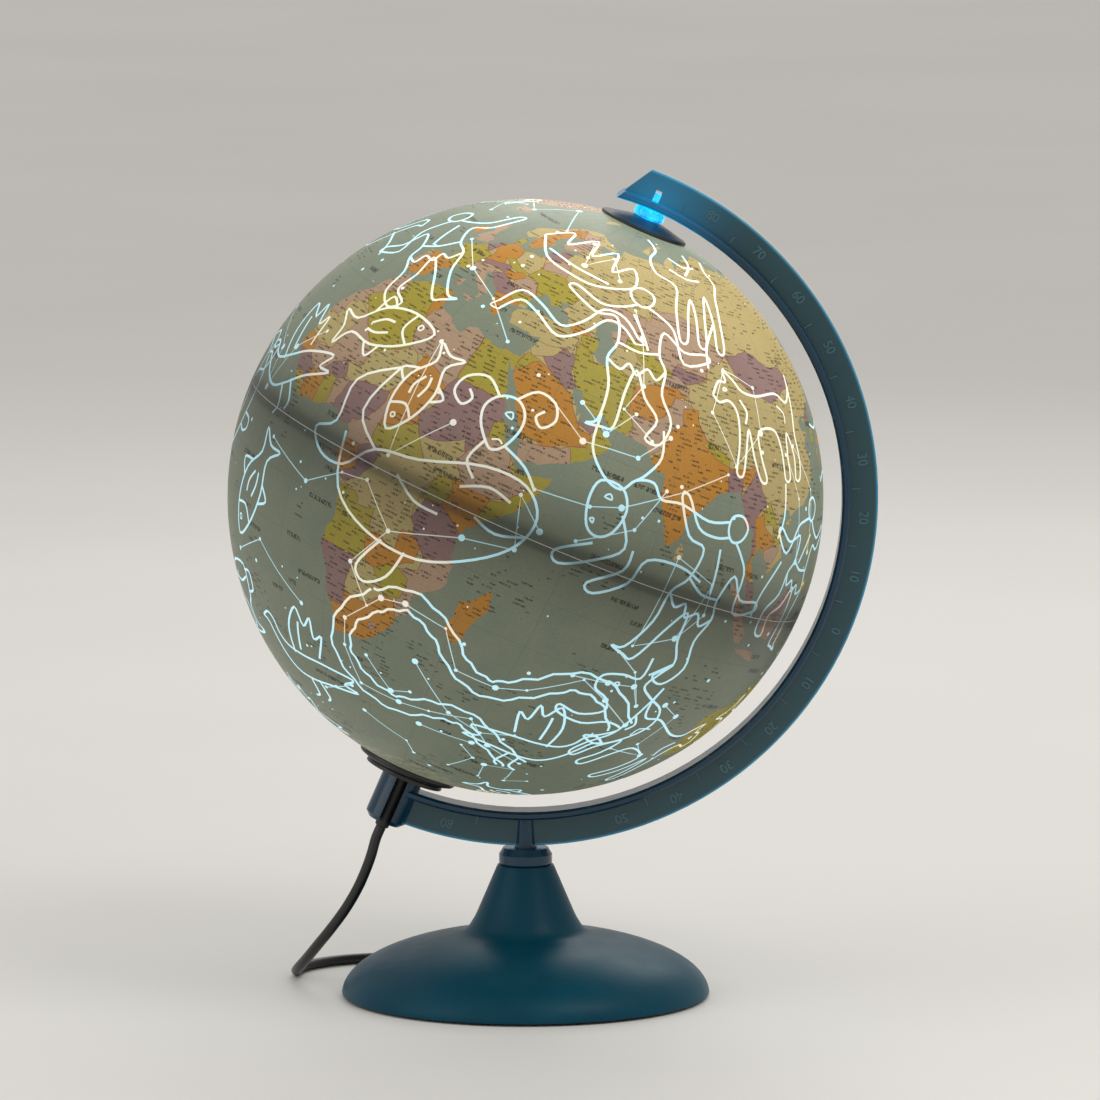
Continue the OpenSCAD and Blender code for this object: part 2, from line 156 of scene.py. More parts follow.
# ---------------------------------------------------------------- materials
class Nodes:
    """Short way to write a node material."""

    def __init__(self, name):
        self.mat = bpy.data.materials.new(name)
        self.mat.use_nodes = True
        self.t = self.mat.node_tree
        self.b = self.t.nodes["Principled BSDF"]

    def n(self, kind, **props):
        o = self.t.nodes.new(kind)
        for k, v in props.items():
            if k.startswith("_"):
                o.inputs[k[1:].replace("_", " ")].default_value = v
            else:
                setattr(o, k, v)
        return o

    def l(self, a, b):
        self.t.links.new(a, b)

    def set(self, **kw):
        for k, v in kw.items():
            s = self.b.inputs[k.replace("_", " ")]
            if hasattr(v, "is_output"):
                self.l(v, s)
            else:
                s.default_value = v
        return self

    def coord(self):
        return self.n("ShaderNodeTexCoord").outputs["Object"]

    def noise(self, scale, detail=3.0, rough=0.5, vec=None, dist=0.0):
        o = self.n("ShaderNodeTexNoise", _Scale=scale, _Detail=detail, _Roughness=rough, _Distortion=dist)
        self.l(vec if vec is not None else self.coord(), o.inputs["Vector"])
        return o.outputs["Fac"]

    def voronoi(self, scale, feature="F1", vec=None, out="Distance"):
        o = self.n("ShaderNodeTexVoronoi", feature=feature, _Scale=scale)
        self.l(vec if vec is not None else self.coord(), o.inputs["Vector"])
        return o.outputs[out]

    def math(self, op, a, b=None, c=None, clamp=False):
        o = self.n("ShaderNodeMath", operation=op, use_clamp=clamp)
        for i, v in enumerate((a, b, c)):
            if v is None:
                continue
            if hasattr(v, "is_output"):
                self.l(v, o.inputs[i])
            else:
                o.inputs[i].default_value = v
        return o.outputs[0]

    def ramp(self, fac, stops, interp="LINEAR"):
        o = self.n("ShaderNodeValToRGB")
        o.color_ramp.interpolation = interp
        e = o.color_ramp.elements
        while len(e) < len(stops):
            e.new(0.5)
        for i, (p, c) in enumerate(stops):
            e[i].position = p
            e[i].color = (c, c, c, 1) if isinstance(c, (int, float)) else (*c[:3], 1)
        self.l(fac, o.inputs["Fac"])
        return o.outputs["Color"]

    def mix(self, fac, a, b, blend="MIX"):
        o = self.n("ShaderNodeMix", data_type="RGBA", blend_type=blend)
        for s, v in ((o.inputs[0], fac), (o.inputs[6], a), (o.inputs[7], b)):
            if hasattr(v, "is_output"):
                self.l(v, s)
            elif isinstance(v, (int, float)):
                s.default_value = v
            else:
                s.default_value = (*v[:3], 1)
        return o.outputs[2]

    def bump(self, height, strength=0.2, distance=0.0002, normal=None):
        o = self.n("ShaderNodeBump", _Strength=strength, _Distance=distance)
        self.l(height, o.inputs["Height"])
        if normal is not None:
            self.l(normal, o.inputs["Normal"])
        return o.outputs["Normal"]


def srgb(r, g, b):
    f = lambda c: (c / 255 / 12.92) if c / 255 <= 0.04045 else ((c / 255 + 0.055) / 1.055) ** 2.4
    return (f(r), f(g), f(b))


def plastic(name, rgb, rough, var=0.12, grain=2600.0, bump=0.12, dist=0.00004, scratch=0.0, **kw):
    """Moulded plastic: slight colour drift, fine grain, a little uneven gloss."""
    m = Nodes(name)
    big = m.noise(28.0, 4.0, 0.6)
    fine = m.noise(grain, 2.0, 0.6)
    dark = tuple(c * (1 - var) for c in rgb)
    lite = tuple(min(1, c * (1 + var)) for c in rgb)
    col = m.ramp(big, [(0.3, dark), (0.7, lite)])
    m.set(Base_Color=col)
    r = m.math("MULTIPLY_ADD", m.noise(60.0, 5.0, 0.65), 0.16, rough - 0.08, clamp=True)
    if scratch:
        sc = m.noise(420.0, 2.0, 0.5, dist=2.0)
        r = m.math("ADD", r, m.math("MULTIPLY", m.math("GREATER_THAN", sc, 0.68), scratch), clamp=True)
    m.set(Roughness=r, Normal=m.bump(fine, bump, dist))
    m.set(**kw)
    return m.mat


def metal(name, rgb, rough, aniso=0.0, scale=(1, 1, 1), wear=0.15):
    """Plated or turned metal: fine streaks, blotches of duller plating."""
    m = Nodes(name)
    mp = m.n("ShaderNodeMapping")
    mp.inputs["Scale"].default_value = scale
    m.l(m.coord(), mp.inputs["Vector"])
    streak = m.noise(900.0, 3.0, 0.6, vec=mp.outputs[0])
    blot = m.noise(140.0, 4.0, 0.6)
    col = m.ramp(blot, [(0.25, tuple(c * (1 - wear) for c in rgb)), (0.75, rgb)])
    m.set(Base_Color=col, Metallic=1.0)
    m.set(Roughness=m.math("MULTIPLY_ADD", streak, 0.22, rough - 0.08, clamp=True), Normal=m.bump(streak, 0.08, 0.00003))
    if aniso:
        m.set(Anisotropic=aniso)
    return m.mat


def assign(o, mat):
    if not o.material_slots:
        o.data.materials.append(mat)
    for s in o.material_slots:
        s.material = mat


def done(o, body, mat=None, replaces=None):
    if mat is not None:
        assign(o, mat)
    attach(o, body)
    if replaces:
        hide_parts(*([replaces] if isinstance(replaces, str) else replaces))
    return o


# ------------------------------------------------------------- camera, floor
cam_data = bpy.data.cameras.new("camera")
cam = link(bpy.data.objects.new("camera", cam_data))
CAM_D, CAM_E = 4.9, math.radians(7.6)
cam.location = CENTRE + Vector((0, -math.cos(CAM_E), math.sin(CAM_E))) * CAM_D
F_PX = 298.0 / math.tan(math.asin(R * MM / CAM_D))     # focal length for a 1100 pixel frame
cam_data.sensor_width = 36.0
cam_data.lens = F_PX / 1100 * 36.0
cam_data.clip_end = 50
# the ball's centre lies left of and above the middle of the frame, so the camera turns a little
fwd = Vector((0, math.cos(CAM_E), -math.sin(CAM_E)))
right = Vector((1, 0, 0))
up = right.cross(fwd)
aim = (fwd * F_PX + right * (550 - 525.5) - up * (550 - 497.0)).normalized()
cam.rotation_euler = aim.to_track_quat("-Z", "Y").to_euler()
cam_data.dof.use_dof = False
scene.camera = cam
scene.view_settings.view_transform = "Standard"

floor = mesh_obj("floor", [(-6000, -6000, 0), (6000, -6000, 0), (6000, 9000, 0), (-6000, 9000, 0)], [(0, 1, 2, 3)], False)
fm = Nodes("floor_pale")
fm.set(Base_Color=fm.ramp(fm.noise(3.0, 2.0), [(0.3, (0.80, 0.785, 0.76)), (0.7, (0.83, 0.815, 0.79))]))
fm.set(Roughness=fm.math("MULTIPLY_ADD", fm.noise(40.0), 0.1, 0.5), Specular_IOR_Level=0.25)
assign(floor, fm.mat)

world = bpy.data.worlds.new("world")
scene.world = world
world.use_nodes = True
world.node_tree.nodes["Background"].inputs["Color"].default_value = (0.80, 0.78, 0.75, 1)
world.node_tree.nodes["Background"].inputs["Strength"].default_value = 0.74


def area(name, loc, target, size, power, colour=(1, 1, 1), size_y=None):
    d = bpy.data.lights.new(name, "AREA")
    d.shape, d.size, d.size_y = "RECTANGLE", size, size_y or size
    d.energy, d.color = power, colour
    o = link(bpy.data.objects.new(name, d))
    o.location = loc
    o.rotation_euler = (Vector(target) - Vector(loc)).to_track_quat("-Z", "Y").to_euler()
    return o


area("key", (0.9, -0.9, 1.5), (0, 0, 0.15), 0.9, 9.0, (1.0, 0.98, 0.95))
area("fill", (-1.4, -0.8, 0.8), (0, 0, 0.15), 1.2, 5.0, (0.95, 0.98, 1.0))
area("rim", (0.3, 1.3, 1.2), (0, 0, 0.2), 1.0, 6.0)

# -------------------------------------------------------------------- cord
CORD_D, CORD_R = 4.4, 2.2
LIE = CORD_R + 0.05


def south(s):
    return (X0 - s * math.sin(TILT), 0.0, ZC - s * math.cos(TILT))


RUN = [
    south(152), south(158), (-76.5, 0, 60), (-79, 0.5, 53), (-82.5, 2, 45), (-87.5, 5, 36),
    (-93.5, 10, 27), (-99.5, 17, 18.5), (-104.5, 26, 11), (-108, 36, 5.5), (-109, 47, LIE),
    (-106, 58, LIE), (-98, 68, LIE), (-86, 75.5, LIE), (-70, 80, LIE), (-53, 82, LIE),
    (-36, 82.5, LIE), (-18, 79.5, LIE),
]
TAIL = [
    (-32.5, 128.5, 6.45), (-36.5, 121.5, 6.6), (-40.5, 114.5, 6.7), (-44, 107, 6.9), (-46, 98, 7),
    (-42.5, 87.3, 7.2), (-33.3, 81.2, 7.7), (-22.8, 81.7, 9), (-14.5, 88, 11.3), (-11.4, 98, 13.8),
    (-11.5, 105, 14.9), (-11.5, 111, 15.3),
]
COIL_C = (X0, 77.5 + 36 + 2.2 + 1)


def coil_points():
    """Flat spiral inwards on the table, then one layer up and outwards again."""
    out = []
    a0 = math.atan2(79.5 - COIL_C[1], -18 - COIL_C[0])
    r_start = math.hypot(79.5 - COIL_C[1], -18 - COIL_C[0])
    low, step = 1500, 12
    for th in range(step, low + 1, step):
        s = min(1.0, th / 90)
        r = (r_start + (36 - r_start) * s * s * (3 - 2 * s)) - max(0, th - 60) / 360 * 4.4
        z = LIE
        if th > low - 40:
            u = (th - low + 40) / 80
            z = LIE + 4.2 * u * u * (3 - 2 * u)
        a = a0 + math.radians(th)
        out.append((COIL_C[0] + r * math.cos(a), COIL_C[1] + r * math.sin(a), z))
    r_in = r
    a_in = a0 + math.radians(low // step * step)
    a_end = math.atan2(TAIL[0][1] - COIL_C[1], TAIL[0][0] - COIL_C[0])
    r_end = math.hypot(TAIL[0][1] - COIL_C[1], TAIL[0][0] - COIL_C[0])
    span = (a_end - a_in) % (2 * math.pi) + 2 * math.pi
    k = int(math.degrees(span) / step)
    for i in range(1, k):
        t = i / k
        th = t * span
        u = min(1.0, 0.5 + math.degrees(th) / 80)
        z = LIE + 4.2 * u * u * (3 - 2 * u)
        r = r_in + (r_end - r_in) * t
        out.append((COIL_C[0] + r * math.cos(a_in + th), COIL_C[1] + r * math.sin(a_in + th), z))
    return out


def tube(name, path, radius, sides=16, caps=True):
    """A tube swept along a path with a frame that doesn't twist."""
    path = [Vector(p) for p in path]
    rings, verts, faces = [], [], []
    ref = None
    for i, p in enumerate(path):
        t = (path[min(i + 1, len(path) - 1)] - path[max(i - 1, 0)]).normalized()
        if ref is None:
            ref = t.orthogonal().normalized()
        ref = (ref - t * ref.dot(t)).normalized()
        w = t.cross(ref)
        r = radius(i / (len(path) - 1)) if callable(radius) else radius
        rings.append(range(len(verts), len(verts) + sides))
        verts += [tuple(p + r * (math.cos(2 * math.pi * k / sides) * ref + math.sin(2 * math.pi * k / sides) * w)) for k in range(sides)]
    for a, b in zip(rings, rings[1:]):
        faces += [(a[k], a[(k + 1) % sides], b[(k + 1) % sides], b[k]) for k in range(sides)]
    if caps:
        faces += [tuple(reversed(rings[0])), tuple(rings[-1])]
    return mesh_obj(name, verts, faces)


run_line = catmull(RUN, 4)
coil_line = [Vector(p) for p in coil_points()]
tail_line = catmull(TAIL, 4)
cord_line = run_line + coil_line + tail_line
cord = tube("mains_lead", cord_line, CORD_R, 14)
m_cord = plastic("pvc_jacket", (0.010, 0.010, 0.011), 0.36, 0.2, 1500.0, 0.10, 0.00005)
done(cord, STAND, m_cord, ["power_cord", "cord_coil"])

# -------------------------------------------------------------------- plug
m_plug = plastic("plug_moulding", (0.012, 0.012, 0.013), 0.42, 0.2, 1900.0, 0.14, 0.00006)
m_pin = metal("nickel_plate", (0.72, 0.71, 0.68), 0.24, 0.0, (1, 0.08, 1))


def loft(name, rings, matrix=None, deg=30):
    """Closed skin over rings of the same point count, capped at both ends."""
    n = len(rings[0])
    verts = [tuple(p) for r in rings for p in r]
    faces = []
    for i in range(len(rings) - 1):
        a, b = i * n, (i + 1) * n
        faces += [(a + k, a + (k + 1) % n, b + (k + 1) % n, b + k) for k in range(n)]
    faces += [tuple(range(n - 1, -1, -1)), tuple(range((len(rings) - 1) * n, len(rings) * n))]
    o = mesh_obj(name, verts, faces)
    bm = bmesh.new()
    bm.from_mesh(o.data)
    if matrix is not None:
        bmesh.ops.transform(bm, matrix=matrix, verts=bm.verts)
    bmesh.ops.recalc_face_normals(bm, faces=bm.faces)
    bm.to_mesh(o.data)
    bm.free()
    sharp_by_angle(o, deg)
    return o


def plug_section(w, h, c, n=8):
    """Flat hexagon with rounded corners: half width w, half height h, corner slant c."""
    pts = [(-w, 0), (-w + c, -h), (w - c, -h), (w, 0), (w - c, h), (-w + c, h)]
    return round_profile(pts, min(2.4, h * 0.45), n)


PLUG_Z = 15.3


def plug_ring(y, w, h, c):
    return [(X0 + a, y, PLUG_Z + b) for a, b in plug_section(w, h, c)]


plug = loft("plug_moulding", [
    plug_ring(120.6, 9.5, 4.6, 2.4), plug_ring(121.0, 13.2, 5.6, 3.2), plug_ring(122.2, 15.8, 6.2, 3.9),
    plug_ring(124.5, 16.9, 6.5, 4.2), plug_ring(127.2, 17.1, 6.4, 4.3), plug_ring(127.6, 16.6, 6.0, 4.2),
    plug_ring(128.6, 16.6, 6.0, 4.2), plug_ring(129.0, 17.1, 6.4, 4.3), plug_ring(130.6, 17.1, 6.4, 4.3),
    plug_ring(131.0, 16.6, 6.0, 4.2), plug_ring(132.0, 16.6, 6.0, 4.2), plug_ring(132.4, 17.2, 6.4, 4.3),
    plug_ring(134.0, 17.2, 6.4, 4.3), plug_ring(134.4, 16.7, 6.0, 4.2), plug_ring(135.4, 16.7, 6.0, 4.2),
    plug_ring(135.8, 17.4, 6.5, 4.4), plug_ring(144.6, 17.6, 6.6, 4.4), plug_ring(145.6, 17.2, 6.3, 4.3),
    plug_ring(146.0, 16.2, 5.6, 4.0),
])
done(plug, STAND, m_plug, "plug_body")


def ribbed_sleeve(name, r0, r1, length, bore, ribs, matrix, seg=40):
    """Flexible moulded sleeve: a taper cut by grooves, round the lead."""
    prof, n = [(bore, 0), (r0, 0)], ribs
    for i in range(n):
        s0, s1 = (i + 0.35) / (n + 0.4), (i + 0.85) / (n + 0.4)
        for s, d in ((s0, 0), (s0 + 0.12 / n, 1), (s1 - 0.12 / n, 1), (s1, 0)):
            r = r0 + (r1 - r0) * s
            prof.append((r - d * 0.55, s * length))
    prof += [(r1, length - 0.3), (r1 - 0.3, length), (bore, length)]
    return lathe(name, prof, seg, matrix, 40)


plug_sleeve = ribbed_sleeve("plug_sleeve", 5.0, 3.1, 22, 2.1, 7, Matrix.Translation(Vector((X0, 121.2, PLUG_Z)) * MM) @ Matrix.Rotation(math.radians(90), 4, "X"))
done(plug_sleeve, STAND, m_plug)


def pin_profile():
    return [(0, 0), (2.0, 0), (2.0, 9.4), (1.88, 9.6), (1.88, 9.9), (2.0, 10.1), (2.0, 17.6), (1.85, 18.3), (1.45, 18.8), (0.8, 19.0), (0, 19.02)]


for i, s in enumerate((-1, 1)):
    p = lathe("plug_pin_" + "ab"[i], pin_profile(), 40, Matrix.Translation(Vector((X0 + 9.3 * s, 146.0, PLUG_Z)) * MM) @ Matrix.Rotation(math.radians(-90), 4, "X"), 25, closed=False)
    done(p, STAND, m_pin, "plug_pins")
    root = lathe("pin_sleeve_" + "ab"[i], [(2.02, 0), (2.02, 8.6), (2.1, 8.8), (2.18, 8.6), (2.18, 0)], 40,
                 Matrix.Translation(Vector((X0 + 9.3 * s, 146.02, PLUG_Z)) * MM) @ Matrix.Rotation(math.radians(-90), 4, "X"), 30)
    done(root, STAND, m_plug)

# Tapered sleeve where the lead leaves the boss: its own bore holds the lead
relief = ribbed_sleeve("lead_sleeve", 3.95, 2.95, 24.0, 2.12, 0, AX @ Matrix.Translation(Vector((0, 0, -128.3)) * MM) @ Matrix.Rotation(math.pi, 4, "X"))
m_rubber = plastic("soft_rubber", (0.011, 0.011, 0.012), 0.5, 0.25, 1300.0, 0.2, 0.00006)
done(relief, STAND, m_rubber, "strain_relief")

# -------------------------------------------------------------------- base
m_base = Nodes("base_satin")
_big = m_base.noise(22.0, 5.0, 0.62)
_mott = m_base.noise(520.0, 3.0, 0.6)
_fine = m_base.noise(2400.0, 2.0, 0.55)
_c = m_base.ramp(_big, [(0.30, srgb(2, 56, 74)), (0.70, srgb(6, 72, 92))])
_c = m_base.mix(m_base.math("MULTIPLY", _mott, 0.5), _c, srgb(12, 60, 74))
m_base.set(Base_Color=_c)
m_base.set(Roughness=m_base.math("MULTIPLY_ADD", m_base.noise(90.0, 4.0), 0.18, 0.30, clamp=True), Specular_IOR_Level=0.12,
           Subsurface_Weight=0.0)
m_base.set(Normal=m_base.bump(_fine, 0.22, 0.00006, m_base.bump(_mott, 0.12, 0.00012)))


def smooth_line(pts, n):
    return [tuple(p)[:2] for p in catmull([(a, b, 0) for a, b in pts], n)]


def base_profile():
    out = [(76.6, 1.0), (77.15, 1.12), (77.42, 1.5), (77.5, 2.0)]
    for a in range(5, 65, 4):
        out.append((77.5 * math.cos(math.radians(a)), 1 + 27.5 * math.sin(math.radians(a))))
    shoulder = smooth_line([(31.5, 26.10), (28.6, 26.78), (26.6, 27.45), (25.0, 28.5), (23.7, 29.95), (22.6, 31.7), (21.4, 33.75), (20.2, 36.3)], 5)
    out += shoulder
    out += [(11.8 + (20.2 - 11.8) * t, 56 - (56 - 36.3) * t) for t in (0.8, 0.6, 0.4, 0.2, 0.05)]
    out += [(11.78, 55.9), (11.5, 56.0), (7.2, 56.0), (7.2, 31.2), (2.8, 31.2), (2.8, 27.6), (9.9, 27.6), (9.9, 50.4), (11.2, 50.4), (18.4, 33.6), (20.8, 28.6)]
    for a in range(64, 3, -4):
        out.append((75 * math.cos(math.radians(a)), 1 + 25 * math.sin(math.radians(a))))
    out += [(75.0, 1.4), (75.2, 1.0)]
    return out


base = lathe("base_shell_skin", base_profile(), 192, Matrix.Translation(Vector((X0, 0, 0)) * MM), 38)
done(base, STAND, m_base.mat, "base_shell")

# --------------------------------------------------- arm, button, hidden parts
def arm_material(name, glow=1.0):
    m = Nodes(name)
    p = m.coord()
    d = m.n("ShaderNodeVectorMath", operation="SUBTRACT")
    m.l(p, d.inputs[0])
    d.inputs[1].default_value = tuple(CENTRE)
    s = m.n("ShaderNodeSeparateXYZ")
    m.l(d.outputs[0], s.inputs[0])
    rr = m.math("SQRT", m.math("ADD", m.math("POWER", s.outputs[0], 2.0), m.math("POWER", s.outputs[2], 2.0)))
    thin = m.math("MULTIPLY", m.math("LESS_THAN", m.math("ABSOLUTE", s.outputs[1]), 0.00175), m.math("LESS_THAN", rr, 0.1482))
    # the ramp's last stop paints the outer edge bright cyan: a painted glow of light piped along the edge
    web = m.ramp(m.math("MULTIPLY", rr, 5.0), [(0.6805, srgb(0, 58, 86)), (0.6825, srgb(36, 74, 82)), (0.734, srgb(42, 84, 93)), (0.7385, srgb(70, 150, 172))])
    web = m.mix(thin, srgb(0, 58, 86), web)
    cloud = m.noise(36.0, 4.0, 0.6)
    col = m.mix(m.math("MULTIPLY", cloud, 0.3), web, srgb(10, 60, 80))
    # painted glow: emission standing in for light led through the plastic from the lit ball, strongest near the upper
    # pivot, plus a painted glow along the outer edge and over the flange
    q = m.n("ShaderNodeVectorMath", operation="DISTANCE")
    m.l(p, q.inputs[0])
    q.inputs[1].default_value = tuple(CENTRE + AXIS * 0.134)
    near = m.math("POWER", m.math("SUBTRACT", 1.0, m.math("DIVIDE", q.outputs["Value"], 0.046), clamp=True), 2.0)
    # painted glow along the outer edge of the web
    rim = m.math("MULTIPLY", m.math("MULTIPLY", m.math("GREATER_THAN", rr, 0.1473), m.math("LESS_THAN", rr, 0.1482)), m.math("MULTIPLY", m.math("LESS_THAN", m.math("ABSOLUTE", s.outputs[1]), 0.0017), 0.20))
    # painted glow over the flange near the pivot
    inner = m.math("MULTIPLY", m.math("LESS_THAN", rr, 0.1333), m.math("MULTIPLY", near, 0.9))
    e = m.math("MULTIPLY", m.math("ADD", m.math("ADD", m.math("MULTIPLY", near, 0.42), rim), inner), glow)
    m.set(Base_Color=col, Transmission_Weight=0.32, IOR=1.49, Emission_Color=(*srgb(12, 154, 212), 1), Emission_Strength=e)
    m.set(Roughness=m.math("MULTIPLY_ADD", m.noise(120.0, 4.0), 0.16, 0.13, clamp=True))
    m.set(Normal=m.bump(m.noise(210.0, 3.0, 0.5, dist=0.6), 0.10, 0.0003))
    return m.mat


m_arm = arm_material("arm_translucent")
arm = NODES["meridian_arm"]
assign(arm, m_arm)


def raised_text(body, size, depth):
    c = bpy.data.curves.new("figure", "FONT")
    c.body, c.size, c.extrude, c.align_x, c.align_y = body, size, depth, "CENTER", "CENTER"
    c.resolution_u = 3
    c.offset = size * 0.012
    o = link(bpy.data.objects.new("figure", c))
    bpy.context.view_layer.update()
    me = bpy.data.meshes.new_from_object(o.evaluated_get(bpy.context.evaluated_depsgraph_get()))
    bpy.data.objects.remove(o)
    return me


def arm_scale(name, side):
    """Degree figures and ticks moulded on one face of the web. side -1 faces -Y, 1 faces +Y."""
    bm = bmesh.new()
    face = side * 1.5 * MM
    for lat in range(-80, 81, 10):
        a = math.radians(lat) - TILT
        if abs(math.degrees(a) + 90) < 7:      # the post stands here
            continue
        n = Vector((math.cos(a), 0, math.sin(a)))
        up_ = n
        out = Vector((0, side, 0))
        x = up_.cross(out)
        rot = Matrix((x, up_, out)).transposed().to_4x4()
        me = raised_text(str(abs(lat)), 5.6 * MM, 0.35 * MM)
        me.transform(Matrix.Translation(CENTRE + n * 142.0 * MM + Vector((0, face, 0))) @ rot)
        bm.from_mesh(me)
        bpy.data.meshes.remove(me)
        b = math.radians(lat + 5) - TILT
        n = Vector((math.cos(b), 0, math.sin(b)))
        if abs(math.degrees(b) + 90) < 4:
            continue
        x = n.cross(out)
        m4 = Matrix.Translation(CENTRE + n * 138.6 * MM + Vector((0, face, 0))) @ Matrix((x, n, out)).transposed().to_4x4()
        r = bmesh.ops.create_cube(bm, size=1.0)
        bmesh.ops.transform(bm, matrix=m4 @ Matrix.Diagonal((0.5 * MM, 3.6 * MM, 0.6 * MM, 1)), verts=r["verts"])
    me = bpy.data.meshes.new(name)
    bm.to_mesh(me)
    bm.free()
    o = link(bpy.data.objects.new(name, me))
    return done(o, STAND, m_scale.mat)


m_scale = Nodes("arm_scale_raised")
m_scale.set(Base_Color=m_scale.ramp(m_scale.noise(300.0, 3.0), [(0.3, srgb(56, 100, 112)), (0.7, srgb(66, 112, 124))]), Transmission_Weight=0.15, IOR=1.49)
m_scale.set(Roughness=m_scale.math("MULTIPLY_ADD", m_scale.noise(120.0, 4.0), 0.16, 0.22, clamp=True))
arm_scale("arm_scale_front", -1)
arm_scale("arm_scale_back", 1)

m_button = Nodes("button_lit")
# painted glow: the button's emission stands in for lamp light shining through the translucent button
m_button.set(Base_Color=m_button.ramp(m_button.noise(150.0, 3.0), [(0.3, srgb(10, 120, 180)), (0.7, srgb(30, 165, 225))]),
             Transmission_Weight=0.45, IOR=1.49, Emission_Color=(*srgb(30, 175, 245), 1),
             Emission_Strength=m_button.ramp(m_button.noise(330.0, 3.0, 0.6, dist=1.0), [(0.35, 0.45), (0.62, 1.5)]),
             Roughness=m_button.math("MULTIPLY_ADD", m_button.noise(240.0), 0.15, 0.06))
ZAX = lambda z: AX @ Matrix.Translation(Vector((0, 0, z)) * MM)
button = lathe("pivot_button_skin", round_profile([(0, 117.5), (3.0, 117.5), (3.0, 128.25), (5.9, 128.3), (6.7, 129.0), (6.7, 130.9), (5.9, 131.7), (5.65, 132.7), (2.0, 132.78), (2.0, 139.5), (0, 139.5)],
                                                  [0, 0.4, 0.2, 0.3, 0.6, 0.6, 0.3, 0.2, 0.1, 0.3, 0], 3), 72, AX, 35, closed=False)
done(button, STAND, m_button.mat, "pivot_button")

m_cap = plastic("cap_black", (0.010, 0.010, 0.0105), 0.40, 0.25, 2300.0, 0.14, 0.00005)
cap = lathe("north_cap_skin", round_profile([(3.05, 127.9), (6.5, 127.75), (9.5, 127.25), (12.5, 126.5), (15.5, 125.7), (18.2, 125.15), (19.0, 124.6), (18.95, 123.78), (9.0, 124.9), (8.9, 116), (3.05, 116)],
                                            [0.3, 2, 3, 3, 3, 0.5, 0.3, 0.1, 0.1, 0.4, 0.3], 4), 128, AX, 30)
done(cap, BALL, m_cap, "north_cap")
bush = lathe("south_bush_skin", round_profile([(14.05, -126.6), (18, -126.4), (21.0, -125.3), (21.5, -124.6), (21.45, -123.4), (17.0, -124.05), (16.9, -117), (14.05, -117)],
                                              [0.3, 2, 0.6, 0.3, 0.1, 0.1, 0.4, 0.3], 4), 128, AX, 30)
done(bush, BALL, m_cap, "south_bush")

m_inner = plastic("inner_grey", (0.16, 0.165, 0.17), 0.5, 0.12, 1200.0, 0.15, 0.00008)
m_white = plastic("seam_moulding", (0.33, 0.35, 0.34), 0.5, 0.12, 1200.0, 0.15, 0.00008)
m_phenol = plastic("holder_moulding", (0.018, 0.017, 0.016), 0.36, 0.3, 800.0, 0.15, 0.00008, 0.1)
m_steel = metal("zinc_plate", (0.62, 0.63, 0.64), 0.3, 0.0, (1, 1, 0.1))
m_brass = metal("rolled_brass", (0.80, 0.60, 0.28), 0.26, 0.0, (1, 1, 0.1))
m_iron = plastic("cast_ballast", (0.06, 0.058, 0.056), 0.62, 0.35, 500.0, 0.5, 0.0003)
m_pad = plastic("pad_rubber", (0.022, 0.022, 0.023), 0.66, 0.3, 1700.0, 0.35, 0.0001)
m_cover = plastic("cover_moulding", (0.024, 0.025, 0.026), 0.46, 0.2, 1400.0, 0.3, 0.0001)

g = Nodes("bulb_frosted")
g.set(Base_Color=g.ramp(g.noise(60.0), [(0.3, (0.86, 0.82, 0.74)), (0.7, (0.93, 0.90, 0.83))]), Transmission_Weight=0.25,
      Roughness=g.math("MULTIPLY_ADD", g.noise(200.0), 0.15, 0.4), Emission_Color=(1.0, 0.86, 0.62, 1), Emission_Strength=1.6)
for node, mat, slot in [
    ("equator_ring", m_white, "seam_plastic"), ("north_retainer", m_inner, "inner_plastic"), ("south_retainer", m_inner, "inner_plastic"),
    ("lamp_plate", m_cap, "black_plastic"), ("lamp_stem", m_steel, "plated_steel"), ("stem_nut", m_brass, "brass"),
    ("lamp_holder", m_phenol, "black_plastic"), ("holder_skirt", m_phenol, "black_plastic"), ("terminal_screws", m_steel, "plated_steel"),
    ("socket_shell", m_brass, "brass"), ("centre_contact", m_brass, "brass"), ("bulb_cap", m_steel, "plated_steel"), ("bulb_glass", g.mat, "bulb_glass"),
    ("lamp_lead", m_cord, "cord_black"), ("base_ballast", m_iron, "ballast_iron"), ("base_cover", m_cover, "cover_plastic"),
    ("cover_screws", m_steel, "plated_steel"), ("rubber_pads", m_pad, "rubber_black"), ("arm_screw", m_steel, "plated_steel"), ("arm_washer", m_steel, "plated_steel"),
]:
    assign(NODES[node], mat)
